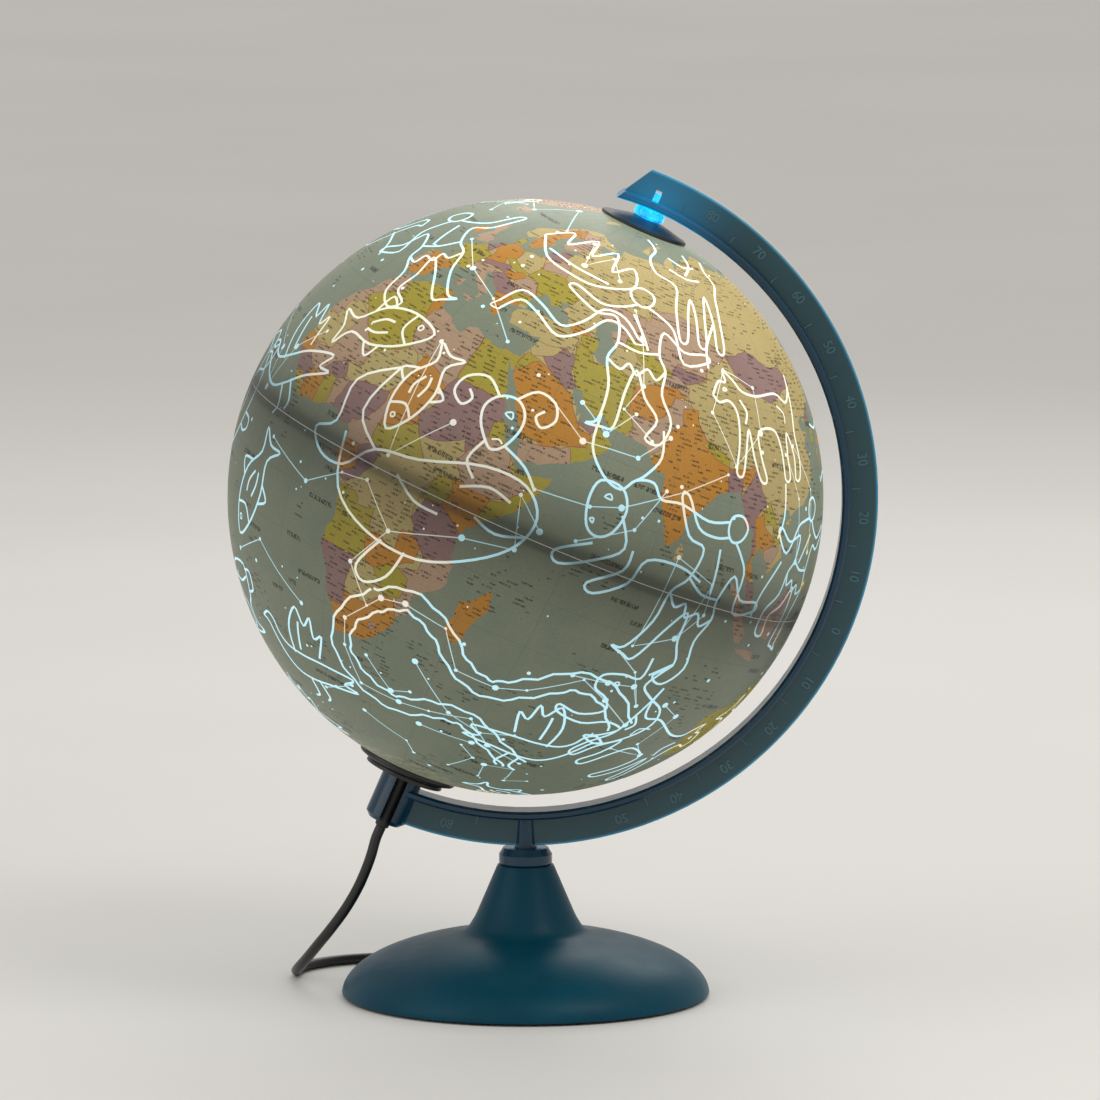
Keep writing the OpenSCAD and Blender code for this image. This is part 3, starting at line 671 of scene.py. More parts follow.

# ------------------------------------------------------------ the printed map
# Coasts as (longitude, latitude), drawn at about two degrees.
LAND = {
    "africa": [(-6, 36), (-2, 35), (1, 36.3), (5, 37), (10, 37.3), (11, 36.8), (10.5, 34.5), (11, 33.2), (15, 32.4), (16, 31.2), (19.5, 30.4), (20.1, 32.2), (22, 32.9), (25, 31.6), (29, 30.9), (31, 31.5), (32.5, 31.2), (32.5, 30), (33.5, 28), (34.2, 26.5), (35.6, 24), (35.5, 23), (37.2, 21), (37.3, 19), (38.5, 18), (39.4, 15.6), (41.5, 13.4), (43.2, 12.4), (43.3, 11.5), (45, 10.6), (48, 11.2), (51.2, 11.9), (51, 10.4), (50, 8.2), (48, 4.6), (46, 2.5), (43.5, 0.4), (41.6, -1.8), (40, -3), (39, -5.5), (39.5, -7), (39.4, -9), (40.5, -10.6), (40.6, -14.5), (39, -16.8), (36.5, -18.7), (34.8, -20), (35.5, -22.2), (35.4, -23.9), (33, -25.3), (32.7, -27.5), (31, -29.8), (29, -32.2), (26.5, -33.8), (22.5, -34.1), (20, -34.8), (18.4, -34.2), (18.2, -32), (16.8, -29), (15.2, -27), (14.5, -23), (13.4, -20.9), (11.8, -18), (12.3, -15), (13.7, -12), (13, -9), (12.2, -6), (11, -4), (9.3, -2), (8.8, -0.7), (9.7, 1), (9.7, 3.6), (8.6, 4.6), (6, 4.3), (4.5, 6.2), (1.5, 6.2), (-2, 4.8), (-4.5, 5.2), (-7.6, 4.4), (-9.5, 5.6), (-11.4, 6.8), (-13.2, 8.5), (-14.8, 10.7), (-16.7, 12.2), (-17.4, 14.7), (-16.4, 16.5), (-16.4, 19.2), (-17, 21), (-15.9, 23.8), (-14.2, 26.2), (-12.9, 27.9), (-10.2, 29.5), (-9.7, 31.4), (-8, 33.2), (-6.3, 34.8)],
    "madagascar": [(49.3, -12.1), (50.4, -15.7), (49.2, -18), (47.7, -23), (47, -25), (45.2, -25.5), (43.6, -23.6), (43.4, -22), (44.4, -20), (44.3, -16.4), (46.4, -15.7), (48, -13.6)],
    "eurasia": [(-9, 37), (-9.4, 39), (-8.8, 43.2), (-4, 43.5), (-1.6, 43.5), (-1.2, 45.8), (-2.5, 47.4), (-4.6, 48.3), (-1.6, 48.7), (-1.5, 49.6), (0.3, 49.7), (1.8, 50.9), (4, 51.9), (5, 53.3), (8, 53.7), (8.2, 57), (10.5, 57.5), (10.4, 55.6), (9.9, 54.7), (12.5, 54.3), (14.3, 54), (18.5, 54.7), (21, 55.2), (21.2, 57), (22, 57.6), (24, 57.2), (23.6, 59.1), (28, 59.6), (30, 60), (28, 60.5), (23, 59.9), (21.4, 61), (21.5, 63), (25.3, 65), (24, 65.8), (21.5, 65), (18, 62.6), (17.2, 60.8), (18.8, 59.8), (16.6, 57.6), (16.2, 56.4), (14.3, 55.5), (12.9, 55.5), (11.2, 58.8), (10.5, 59.4), (8.5, 58.2), (5.7, 58.8), (5, 61.8), (8, 63.6), (12, 65.5), (14.5, 67.8), (18, 69.6), (23, 70.6), (28, 71.1), (31, 70.3), (33, 69.4), (41, 67.7), (40.2, 66.3), (33.5, 66.7), (35, 64.3), (38, 64), (40.2, 64.7), (44, 66), (44, 68.4), (46.5, 68), (53.5, 68.5), (59, 68.9), (61, 69.6), (65, 69.2), (67, 69), (68, 72), (72.5, 72.8), (72.8, 69), (73.5, 68), (76, 72), (80.5, 72.2), (81, 73.6), (87, 75), (97, 76), (104, 77.6), (112, 76.5), (108, 73.3), (113, 73.8), (120, 73), (127, 73.4), (130, 71), (139, 72.3), (150, 71.5), (160, 69.7), (170, 69.8), (178, 69.2), (180, 68.9), (180, 65.1), (177.5, 64.6), (179, 62.6), (170.5, 60), (164, 59.8), (162, 58), (162.5, 56), (160, 53), (156.8, 51), (155.8, 56), (158, 58.5), (163, 61.5), (160, 61.7), (156.5, 61.5), (154, 59.4), (149, 59.5), (142, 59.2), (135.5, 54.7), (138, 53.8), (141.2, 52.5), (140.3, 48.5), (136, 44.5), (133, 42.8), (130.5, 42.4), (127.5, 39.7), (129.4, 37), (129, 35.2), (126.4, 34.5), (126.7, 37.6), (124.8, 39.6), (121.5, 39), (122, 40.6), (118, 39.1), (119, 37.3), (122.4, 37), (119.3, 34.9), (121.8, 31.6), (121.9, 29), (119.6, 25.6), (116.5, 23), (113.5, 22.2), (110.3, 20.4), (109.6, 21.5), (108, 21.5), (105.8, 19), (107.8, 16.2), (109.3, 12.5), (107, 10.4), (105, 8.7), (104.8, 10.4), (102.5, 12), (100.9, 13.4), (99.3, 10.5), (100.3, 8.3), (102, 6.2), (103.4, 3.6), (104.2, 1.4), (101.3, 2.9), (100.2, 5.8), (98.4, 8), (98.6, 11.6), (97.6, 16.2), (95.2, 15.9), (94.3, 17.5), (93.5, 20), (91.8, 22.4), (89, 21.8), (87, 21.2), (84.8, 19), (82.3, 16.6), (80.2, 15), (80.2, 12.8), (79.7, 10.3), (78.2, 8.9), (77.5, 8.1), (76.3, 9.9), (74.8, 12.9), (73.2, 16.8), (72.8, 20.2), (72.4, 21.2), (70.8, 20.8), (69, 22.3), (67.2, 24.6), (62.5, 25.1), (57.5, 25.6), (56.6, 27.1), (54, 26.6), (51.3, 27.9), (50, 30.1), (48, 30), (48.3, 28.5), (50.2, 26.6), (50.8, 24.8), (51.5, 25.9), (51.6, 24.3), (54.2, 24.1), (56.2, 26.1), (56.6, 24.4), (59.8, 22.5), (57.8, 19), (55.2, 17.2), (52.2, 15.6), (48.7, 14), (45.2, 12.9), (43.5, 12.7), (42.8, 15.2), (42.5, 16.8), (40.2, 20), (39.1, 21.4), (37.2, 24.8), (34.8, 28.1), (34.9, 29.4), (34.3, 27.9), (32.6, 29.9), (32.4, 31.2), (34.3, 31.3), (35.1, 33), (36, 35.8), (36.1, 36.8), (34, 36.3), (30.6, 36.8), (27.5, 36.9), (26.4, 39.2), (27, 40.4), (29.5, 41.2), (33, 42), (36.5, 41.3), (41.4, 41.6), (39, 44), (37, 45), (39, 47.1), (35.5, 46.3), (36.3, 45.2), (33.7, 44.4), (32.6, 45.6), (30.8, 46.5), (28.8, 44.6), (27.8, 42.6), (28.8, 41.2), (26, 40.8), (23.8, 40.4), (23, 39.2), (24, 37.8), (22.8, 36.6), (21.3, 37.6), (20.2, 39.4), (19.4, 41.6), (16.2, 43.4), (14, 45), (12.4, 45.4), (12.4, 44.3), (14, 42.6), (16, 41.6), (18.4, 40), (16.8, 40.4), (16.6, 38.9), (15.8, 38), (16, 39.4), (14.2, 40.8), (12.2, 41.7), (10.3, 43.4), (8.8, 44.4), (6.5, 43.1), (3.2, 43.1), (3.1, 41.8), (0.6, 40.6), (-0.2, 39), (-0.8, 37.7), (-2.2, 36.8), (-5.5, 36.1)],
    "sea_caspian": [(47, 45), (49.5, 46.5), (53, 46.8), (52.8, 45.2), (51, 44.6), (52.6, 42.8), (54, 41), (53, 39), (53.9, 37), (50.8, 37), (49, 38.4), (49.5, 40.4), (47.6, 42.8)],
    "britain": [(-5.2, 50.1), (-1.5, 50.7), (1.3, 51.2), (1.6, 52.7), (-0.2, 53.6), (-1.6, 55.4), (-2.1, 57.6), (-3.2, 58.6), (-5.2, 58.4), (-5.6, 56), (-3.2, 54.8), (-4.4, 53.2), (-5, 51.8), (-3, 51.4)],
    "ireland": [(-10, 52), (-6.4, 52.2), (-6, 54.2), (-8, 55.2), (-10, 54)],
    "iceland": [(-22.5, 64), (-18.5, 63.4), (-13.8, 64.8), (-15, 66.2), (-20, 66), (-24, 65.6)],
    "sicily": [(12.5, 38), (15.5, 38.2), (15.1, 36.7)], "sardinia": [(8.3, 39), (9.6, 39.2), (9.7, 41), (8.3, 40.9)], "crete": [(23.6, 35.3), (26.2, 35.2), (25, 35), (23.6, 35.3)],
    "cyprus": [(32.4, 34.9), (34.4, 35.6), (33.8, 34.9)], "lanka": [(79.8, 8), (80.4, 9.7), (81.8, 7.4), (81, 6.1), (80, 6.2)],
    "svalbard": [(12, 79.6), (20, 80), (26, 79.6), (20, 77.6), (16, 76.7)], "novaya": [(53, 71.4), (56, 74), (66, 76.8), (68, 76.4), (58, 73), (57, 70.7)],
    "sumatra": [(95.4, 5.6), (98, 4.2), (101, 2), (104, -1.8), (106, -3.2), (105.7, -5.8), (104, -5.5), (101.4, -3), (98.8, 1.6)],
    "java": [(105.3, -6.6), (108.6, -6.6), (111, -6.5), (114.4, -7.8), (114.4, -8.7), (110, -8.2), (106.5, -7.4)],
    "borneo": [(109, 1.6), (111.2, 2.2), (114, 4.7), (117, 7), (119, 5.2), (117.7, 3), (117.7, 0.8), (116.4, -2), (115.8, -4), (112, -3.4), (110.2, -2.8), (109.1, -0.5)],
    "sulawesi": [(119.8, 0.6), (122, 1.1), (124.9, 1.6), (123.6, 0.4), (120.3, 0.4), (121, -1), (123.3, -0.8), (121.8, -2), (122.6, -4.5), (121.4, -4.6), (120.6, -2.8), (120.4, -5.5), (119.4, -5.4), (119, -2.8)],
    "papua": [(131, -0.9), (134.2, -1), (135, -3.4), (138, -1.7), (141, -2.6), (145, -4.4), (147.8, -6.2), (147.2, -7.8), (150.7, -10.4), (147, -9.6), (144, -7.7), (141, -9.1), (138.2, -8.2), (138.6, -6.8), (135.4, -4.4), (132.8, -4)],
    "luzon": [(120.4, 16), (120.8, 18.5), (122.2, 18.4), (122, 15.4), (124, 13.2), (121, 13.8)], "mindanao": [(122.2, 7), (123.8, 8.4), (126, 9.2), (126.4, 6.6), (124.2, 6.2)],
    "taiwan": [(120.1, 23), (121.5, 25.2), (121.8, 24.8), (120.8, 22)], "hainan": [(108.7, 19), (110.5, 20.1), (110.9, 19.8), (109.5, 18.3)],
    "kyushu": [(129.8, 33), (131, 33.9), (132, 32.8), (130.6, 31.1)], "honshu": [(131, 34.2), (133, 35.5), (136, 35.8), (137.2, 37.3), (139.5, 38.5), (140, 40.8), (141.3, 41.4), (142, 39.6), (140.9, 36.2), (139, 34.8), (136.9, 34.4), (135.4, 33.6), (134.6, 34.7)],
    "hokkaido": [(140, 42), (141.6, 45.4), (145.4, 43.4), (143, 42)], "sakhalin": [(142, 46.2), (142, 53), (143.2, 54), (144.6, 49), (143, 47)],
    "australia": [(113.7, -22.6), (114, -26), (115.7, -31.6), (115, -34.2), (118, -35), (123.5, -33.9), (126, -32.3), (131, -31.5), (134.2, -32.8), (135.9, -34.7), (138, -33), (138.4, -35.6), (140.6, -38), (143.6, -38.8), (146.4, -39), (150, -37.4), (151.2, -33.8), (153.1, -30.6), (153.1, -26), (151, -23.4), (149, -20.6), (146.4, -19), (145.4, -15), (143.7, -14.3), (142.4, -10.8), (141.6, -14), (140.8, -17.5), (139, -17.3), (136, -15.4), (136.8, -12.2), (132.6, -11.5), (130.8, -12.4), (129.5, -15), (126, -14), (122.8, -17), (121.5, -19.2), (117, -20.8)],
    "tasmania": [(144.8, -40.8), (148.2, -40.9), (147.8, -43.2), (146, -43.5)],
    "nz_north": [(172.8, -34.5), (175.5, -36.6), (178.4, -37.8), (177, -39.5), (175.3, -41.5), (174, -39.4), (174.8, -38)], "nz_south": [(172.7, -40.6), (174.2, -41.6), (172.8, -43.6), (170.8, -45.8), (168.4, -46.6), (166.6, -45.8), (170.6, -42.8)],
    "n_america": [(-168, 65.6), (-162, 66.6), (-166, 68.4), (-156.6, 71.3), (-141, 69.6), (-128, 70.4), (-115, 68.4), (-108, 67.8), (-96, 68), (-94, 71.8), (-88, 68.4), (-82, 69.6), (-81.5, 67.2), (-87, 64.6), (-94.5, 60.5), (-92.6, 57), (-85, 55.4), (-82.3, 52.9), (-79, 51.4), (-79.6, 54.8), (-76.6, 57.4), (-78, 62.4), (-73, 62.2), (-69.5, 58.9), (-65, 59.8), (-61, 55.6), (-56, 52), (-60, 50.2), (-66.5, 50.2), (-64.5, 48.8), (-64.8, 46.6), (-61, 46), (-66, 43.6), (-67, 44.8), (-70.6, 43.2), (-70, 41.8), (-74, 40.5), (-76, 37), (-75.6, 35.3), (-81, 31.8), (-80.1, 26), (-81.7, 25.8), (-83, 29.2), (-86, 30.3), (-89.4, 29.4), (-94, 29.5), (-97.3, 27), (-97.8, 22.4), (-95.8, 18.8), (-91.4, 18.7), (-90.4, 21), (-87, 21.5), (-88.3, 17.5), (-88, 15.8), (-83.4, 15), (-83.6, 11), (-81.6, 9), (-79.6, 9.5), (-77.4, 8.5), (-78.4, 7.6), (-80.4, 7.4), (-83.4, 8.4), (-85.8, 10), (-87.6, 13), (-92.2, 14.6), (-96, 15.8), (-101.5, 17.6), (-105.6, 20.4), (-106.4, 23.4), (-109.4, 26.6), (-112.8, 31), (-114.8, 31.6), (-111, 26), (-109.6, 23.1), (-112.2, 25.6), (-115.6, 29.8), (-117.3, 33), (-120.6, 34.6), (-122.4, 37.4), (-124.3, 40.4), (-124.1, 46), (-122.8, 49), (-127.6, 51.2), (-130.4, 55), (-135, 58.4), (-140, 59.9), (-146.5, 60.9), (-151.5, 59.4), (-154, 58.2), (-158.4, 56), (-163, 54.9), (-157.6, 58.6), (-162, 59), (-165.4, 61.6), (-164.4, 63.2), (-161, 64.4), (-166, 64.6)],
    "s_america": [(-77.4, 8.5), (-75.4, 10.8), (-71.6, 12.3), (-71.4, 10.8), (-68.2, 11), (-62, 10.7), (-59.8, 8.4), (-54, 5.8), (-51.2, 4.2), (-50, 0.8), (-48.4, -0.9), (-44.4, -2.7), (-39, -3.6), (-35.3, -5.4), (-35, -8.8), (-38.6, -13), (-39.2, -17.6), (-41, -22), (-44.6, -23.2), (-48.6, -26), (-49, -28.6), (-52.4, -33.2), (-56, -34.9), (-57.2, -36.6), (-62, -38.9), (-65, -41), (-63.8, -42.8), (-67.4, -46), (-66, -48), (-69, -51.4), (-68.4, -53), (-65.4, -54.8), (-71, -55), (-74.8, -52), (-75.4, -47.6), (-73, -42), (-73.4, -37.2), (-71.6, -32), (-70.2, -23), (-70.4, -18.4), (-76.2, -14), (-79.6, -8), (-81.3, -4.8), (-80.2, -2), (-80, 0.8), (-78.6, 1.8), (-77.2, 4), (-77.6, 7)],
    "greenland": [(-73, 78.2), (-66, 80.8), (-56, 82.4), (-32, 83.5), (-18, 80), (-19.6, 74), (-24, 70.4), (-32, 68.2), (-40, 65), (-43.4, 60), (-48.6, 61.4), (-52, 65), (-54, 69), (-58, 75), (-68, 76.2)],
    "baffin": [(-88, 73.4), (-80, 73.6), (-68, 70), (-62, 66.6), (-66.4, 62.6), (-73, 64.4), (-73, 67.8), (-84, 70.2)], "victoria": [(-117, 70), (-116, 73), (-106, 73.4), (-102, 69.2)], "ellesmere": [(-89, 76.6), (-90, 81), (-70, 83), (-64, 81.6), (-78, 77)],
    "newfoundland": [(-59, 47.8), (-55.8, 51.4), (-53, 47.2), (-56, 47)], "cuba": [(-84.8, 22), (-80, 23), (-75, 20.6), (-77.6, 20), (-82, 22.3)], "hispaniola": [(-74, 18.4), (-73, 19.8), (-68.6, 18.6), (-71.4, 17.8)],
    "antarctica_a": [(-180, -78), (-160, -77), (-140, -75), (-120, -73.6), (-100, -72.6), (-80, -73), (-68, -70), (-62, -64.6), (-58, -63.4), (-61, -68), (-62, -74), (-50, -77.6), (-30, -76), (-12, -71), (0, -70), (20, -70), (35, -69), (50, -66.8), (60, -67.4), (75, -69.4), (90, -66.8), (110, -66), (130, -66.2), (150, -68.6), (165, -71), (170, -77), (180, -78), (180, -89), (90, -89), (0, -89), (-90, -89), (-180, -89)],
}
# Loose country outlines: they run past the coast and under the ones listed after them.
COUNTRIES = [
    ("T", [(26, 72), (60, 82), (120, 82), (180, 74), (180, 60), (162, 48), (140, 40), (130, 42.5), (135, 48.4), (127, 50), (120, 53.3), (117, 49.6), (108, 49.6), (98, 50), (88, 49.4), (82, 50.8), (77, 54), (70, 55.2), (61, 53.6), (60, 50.6), (50, 51.4), (47, 50), (48, 46), (47.6, 41.4), (44, 42.6), (36, 43), (38, 47), (40, 49.6), (35.4, 50.4), (32, 52.3), (31, 55.8), (27.6, 57.4), (27.4, 61), (30.6, 63), (29, 69)]),
    ("T", [(73.5, 39.4), (80, 42), (80.4, 45), (85.4, 48.4), (88, 49.2), (91, 45.2), (96, 42.7), (105, 41.8), (111.6, 44.6), (119.8, 46.8), (116, 49.8), (120, 53.3), (127, 50), (131, 47.8), (135, 48.4), (130.6, 42.4), (126, 41), (120, 37), (125, 30), (120, 20), (108, 17), (106, 22.6), (101, 21.4), (97.6, 24.4), (97, 28), (88, 27.8), (81, 30.2), (78.6, 32.6), (76, 35.8)]),
    ("P", [(46.6, 48.4), (50, 51.4), (61, 50.6), (61.6, 53.8), (70, 55.2), (77, 54), (82, 50.8), (87.4, 49.2), (85.4, 47.4), (80.2, 45), (80, 42.4), (74, 43.2), (69, 41.4), (66, 42.4), (61, 44.4), (56, 45), (56, 41.4), (52.4, 42), (50, 45)]),
    ("M", [(87.8, 49.2), (98, 52), (108, 49.4), (116, 49.8), (119.8, 46.8), (111.6, 44.6), (105, 41.8), (96, 42.7), (91, 45.2)]),
    ("T", [(52.4, 41.6), (58.6, 42.6), (66.6, 37.4), (61.2, 35.4), (54, 37.4)]), ("Y", [(56, 45), (61, 44.4), (66, 42), (69, 41.2), (73, 40.8), (67.6, 37.4), (62, 40), (58.6, 42.6), (56, 41.4)]),
    ("M", [(70.6, 43), (80, 42.4), (76, 40.4), (73.8, 39.6), (69.6, 40)]), ("P", [(67.6, 39.6), (70.6, 40.9), (75, 38.8), (74.6, 37.2), (68, 37)]),
    ("Y", [(44.4, 39.6), (48, 39), (50, 36.6), (55, 37.6), (61.2, 36.4), (61, 31.2), (63.2, 27), (61.4, 24.2), (56.6, 26.4), (52, 26.2), (48.4, 29.6), (47.8, 31.2), (45.6, 34)]),
    ("O", [(61, 35.4), (66.6, 37.4), (71.4, 38.2), (74.8, 37.2), (71.4, 36.2), (69.6, 31.8), (66.4, 29.6), (61, 29.6)]),
    ("P", [(61.6, 24), (63.2, 27), (61, 29.6), (66.4, 29.6), (69.6, 31.8), (71.4, 36.2), (76.8, 35.4), (74.6, 31.2), (70, 28), (70.2, 24.8), (66, 22)]),
    ("O", [(68, 22), (71, 24.6), (70, 28), (74.6, 31.2), (74, 34.6), (78, 35.4), (79, 32), (81, 30.2), (84, 28), (88, 26.4), (92, 26.8), (97, 28.2), (94.2, 23.6), (91.6, 24.8), (88.6, 22), (88, 18), (82, 12), (79.6, 8.6), (77, 5), (70, 14)]),
    ("Y", [(80.2, 29), (82, 30.2), (88.1, 27.9), (88, 26.4), (84, 27.2)]), ("M", [(88.1, 26.2), (92.4, 25), (92.6, 20.6), (89, 21)]),
    ("M", [(92.4, 21), (94.2, 24), (97.4, 28.2), (98.7, 24), (101, 21.6), (97.8, 18.4), (99.4, 10), (96, 10), (92, 16)]), ("O", [(97.6, 18.4), (100.4, 20.2), (101, 17.6), (105.4, 15.4), (102.6, 12), (100, 5.8), (97.6, 7.6), (99.4, 13)]),
    ("Y", [(100.4, 20.2), (102, 22.4), (105, 18.8), (107.4, 15), (105.4, 14), (104, 18), (101, 17.6)]), ("T", [(102, 22.4), (105.2, 23.3), (108, 21.4), (110.6, 12), (106, 7.6), (104.4, 10.6), (107.4, 13), (107.4, 15.4), (104.6, 19)]), ("P", [(102.4, 13), (105.4, 14.4), (107.4, 14), (106, 10.8), (103, 10.4)]),
    ("M", [(99, 7), (102, 6.4), (105, 1), (102, 1)]), ("P", [(94, 7), (108, -1), (120, -10), (103, -8), (94, 1)]), ("M", [(108, 3), (120, 8), (120, 3.6), (115, 1), (110, 0.6)]), ("P", [(108, 0.6), (115, 1), (119, 4), (141, 1), (141, -12), (118, -11), (108, -5)]), ("O", [(141, 0), (156, -4), (156, -13), (141, -12)]), ("Y", [(118, 20), (127, 20), (128, 5), (118, 4)]),
    ("O", [(128, 30), (146, 47), (150, 43), (140, 30)]), ("M", [(124, 40), (131, 43), (131, 37), (124, 37)]), ("Y", [(125, 38), (130, 38), (130, 33), (125, 33)]), ("Y", [(110, -9), (160, -9), (160, -46), (110, -46)]), ("P", [(165, -33), (180, -33), (180, -48), (165, -48)]),
    ("O", [(35, 29.4), (37.6, 31.6), (39.2, 32.2), (42, 31.2), (46.4, 29.1), (48.6, 28.4), (51, 24.6), (52.6, 22.8), (55.2, 22.6), (55, 20), (52, 19), (47, 17), (43.4, 17.4), (42, 16.2), (34, 26)]),
    ("M", [(38.8, 33.4), (42.4, 37.2), (45.6, 36), (46, 33), (48.6, 30), (46.6, 29.1), (42, 31.2)]), ("T", [(36, 36.6), (42.4, 37.2), (41, 34.4), (36.6, 32.6), (35, 34)]), ("Y", [(34.4, 29.2), (35.4, 33), (39, 32.4), (37.4, 31.4), (36.2, 29.2)]),
    ("P", [(42.2, 16.4), (47, 17), (52, 19), (53.6, 16), (50, 12), (42, 12)]), ("Y", [(52, 19), (55, 20), (55.8, 24), (56, 27), (61, 23), (58, 17), (53.4, 15.6)]), ("M", [(51.2, 23.8), (55, 22.7), (56.4, 25.4), (54, 26)]),
    ("T", [(25, 42), (32, 43), (41.4, 41.6), (44.6, 40), (44.4, 37), (36.4, 36), (30, 34), (25, 37)]), ("O", [(41.2, 43.4), (46.6, 41.8), (45, 41.2), (41.4, 41.4)]), ("Y", [(44.6, 41.2), (50.4, 41.8), (50, 38.2), (46.6, 38.8), (45, 40)]),
    # Europe
    ("O", [(-10, 44.4), (-1.6, 43.3), (3.4, 42.4), (5, 38), (-5, 34.6), (-7.4, 37), (-6.4, 42)]), ("P", [(-11, 42), (-6.6, 42), (-7.2, 36.6), (-11, 36)]), ("Y", [(-6, 49), (2.4, 51.2), (6.2, 49.4), (8, 49), (7, 46), (7.6, 43.6), (4, 42), (-2, 43.2), (-4, 46)]),
    ("P", [(-12, 49), (-12, 61), (3, 61), (2, 50.6), (-2, 50)]), ("O", [(-12, 51), (-12, 56), (-6, 55), (-6, 51.6)]), ("O", [(6, 51.6), (7, 55), (14.4, 55), (14.8, 51), (12.2, 50.3), (13.8, 48.6), (13, 47.5), (7.6, 47.6), (8, 49)]), ("M", [(2.4, 51.2), (4, 53.6), (7.2, 53.8), (6, 50), (5, 49.6)]),
    ("M", [(6.8, 46), (7.6, 47.6), (16, 49), (17, 47.8), (16, 46.6), (10.4, 46.8)]), ("P", [(6.6, 45.8), (13.6, 46.6), (14, 45), (19.4, 40), (16, 36), (11, 36), (8, 40), (7, 44)]), ("T", [(14.2, 55), (22, 55), (24, 52), (23, 49.2), (18.8, 49.4), (14.8, 51)]),
    ("Y", [(12.2, 50.3), (14.8, 51), (18.8, 49.6), (22.6, 49), (20, 48.2), (16.9, 48.4)]), ("O", [(16.2, 47.8), (22.4, 48.4), (21, 46.2), (18.8, 45.8), (16.4, 46.4)]), ("P", [(20.4, 46.2), (22.8, 48), (26.6, 48.2), (28.2, 45.4), (30, 44), (22.8, 43.8)]), ("Y", [(22.4, 44.2), (28.6, 44), (28.4, 42), (23, 41.4)]),
    ("M", [(13.4, 45.4), (16.4, 46.6), (19, 45.8), (22.8, 44.4), (22.2, 42.2), (18.6, 41.8), (14, 44)]), ("O", [(19, 41.8), (22.4, 42.3), (26.4, 41.6), (27, 36), (21, 35), (19, 39)]),
    ("Y", [(22.2, 48.4), (24, 52), (31.6, 52.2), (35.4, 50.4), (40.2, 49.4), (38.6, 46.8), (34, 43.6), (28.4, 45.4), (26.6, 48)]), ("P", [(23.4, 53.8), (28, 56.2), (31, 55.4), (32.4, 52.6), (24, 51.8)]), ("M", [(20, 56.4), (21, 60), (28, 59.6), (27.6, 57.4), (26.4, 55.4), (22, 54.6)]),
    ("P", [(20, 60), (20.6, 69), (28.4, 70), (30, 67.6), (31.4, 62.8), (27.6, 60.4)]), ("O", [(10.8, 58.8), (12.4, 64), (18, 68.6), (20.6, 69.1), (24, 65.8), (18, 60), (18, 56), (12, 55)]), ("T", [(3, 57), (4, 64), (16, 71), (31, 72), (29, 69.6), (24.6, 68.6), (20.4, 69.2), (18, 68.6), (12.4, 64), (11.6, 59)]), ("Y", [(7.6, 54.9), (7.6, 58), (11, 58), (12.8, 55.8), (11, 54.6)]),
    ("M", [(-26, 67), (-12, 67), (-12, 62), (-26, 62)]),
    # Africa
    ("P", [(-12, 37), (-2, 36), (-1.4, 32.2), (-8.6, 28.8), (-8.7, 27.7), (-18, 27.6)]), ("P", [(-18, 27.7), (-8.7, 27.7), (-8.7, 26), (-12, 26), (-13, 21.4), (-18, 20.8)]), ("Y", [(-2.2, 36), (9, 38), (8.4, 33), (9.5, 30.2), (9.8, 26.4), (12, 23.4), (5.6, 19.4), (3.2, 19), (-4.8, 25), (-8.7, 27.4), (-8.6, 28.8), (-1.2, 32.2)]),
    ("O", [(8.6, 38), (12, 38), (11.4, 33.2), (9.5, 30.2), (8.2, 33)]), ("P", [(11.5, 33.2), (12, 34), (25, 33), (25, 20), (24, 20), (15.9, 23.4), (14.2, 22.6), (12, 23.4), (9.9, 26.4), (9.6, 30.2)]), ("Y", [(25, 32.6), (35, 32.2), (34.6, 29), (37, 22), (25, 22)]),
    ("T", [(-18, 21.3), (-13, 21.3), (-12, 26), (-8.7, 26), (-4.8, 25), (-6.5, 15.5), (-12, 15), (-18, 16.4)]), ("P", [(-4.8, 25), (3.2, 19), (4.2, 19), (4, 15.4), (0.2, 15), (-3, 13.6), (-5.4, 10.4), (-8, 10.4), (-11.4, 12.2), (-12, 14.8), (-6.5, 15.5)]),
    ("T", [(5.6, 19.4), (12, 23.4), (14.2, 22.6), (15.6, 21), (15.4, 16.8), (13.4, 13.8), (7, 13.2), (3.6, 11.8), (0.4, 13.8), (0.2, 15), (4, 15.4), (4.2, 19)]), ("O", [(15.9, 23.4), (24, 19.5), (22, 13), (22.4, 11), (19, 8.8), (15.4, 7.6), (14, 10), (14.4, 13), (13.4, 13.8), (15.4, 16.8)]),
    ("M", [(24, 20), (25, 22), (38, 22), (39, 17), (36.4, 14.4), (34, 9.8), (32.6, 12), (28, 9.4), (24, 8.8), (22.4, 11), (22, 13), (24, 15.8)]), ("T", [(23.8, 8.8), (28, 9.6), (32.8, 12.2), (34, 9.6), (33, 7.8), (35.4, 5), (31, 3.6), (27.4, 5)]),
    ("Y", [(36.4, 17.6), (39, 18.4), (43.4, 12.4), (42.4, 12.4), (40, 14.4), (36.6, 14.4)]), ("P", [(36.4, 14.4), (40, 14.6), (42.4, 12.5), (42.8, 10.6), (48, 8), (45, 5), (41.9, 3.9), (38, 3.6), (35.2, 5.2), (33, 8), (34.2, 10.6)]), ("Y", [(42.8, 11), (43.2, 11.6), (52, 12.6), (51.4, 8), (44, -2), (41, -1.8), (41, 2.8), (45, 5), (48, 8)]),
    ("O", [(34, 4.2), (36, 4.6), (38, 3.6), (42, 3.9), (41, 0), (41.8, -2), (39.4, -5), (37.6, -3.2), (33.9, -1)]), ("Y", [(29.6, -1.4), (30.8, 3.6), (34, 4.2), (35, 1.8), (33.9, -1)]), ("M", [(30.6, -1), (33.9, -1), (37.6, -3.2), (40, -5), (41, -10.6), (38, -11.4), (34.6, -11.6), (31, -8.4), (29.4, -5.6)]),
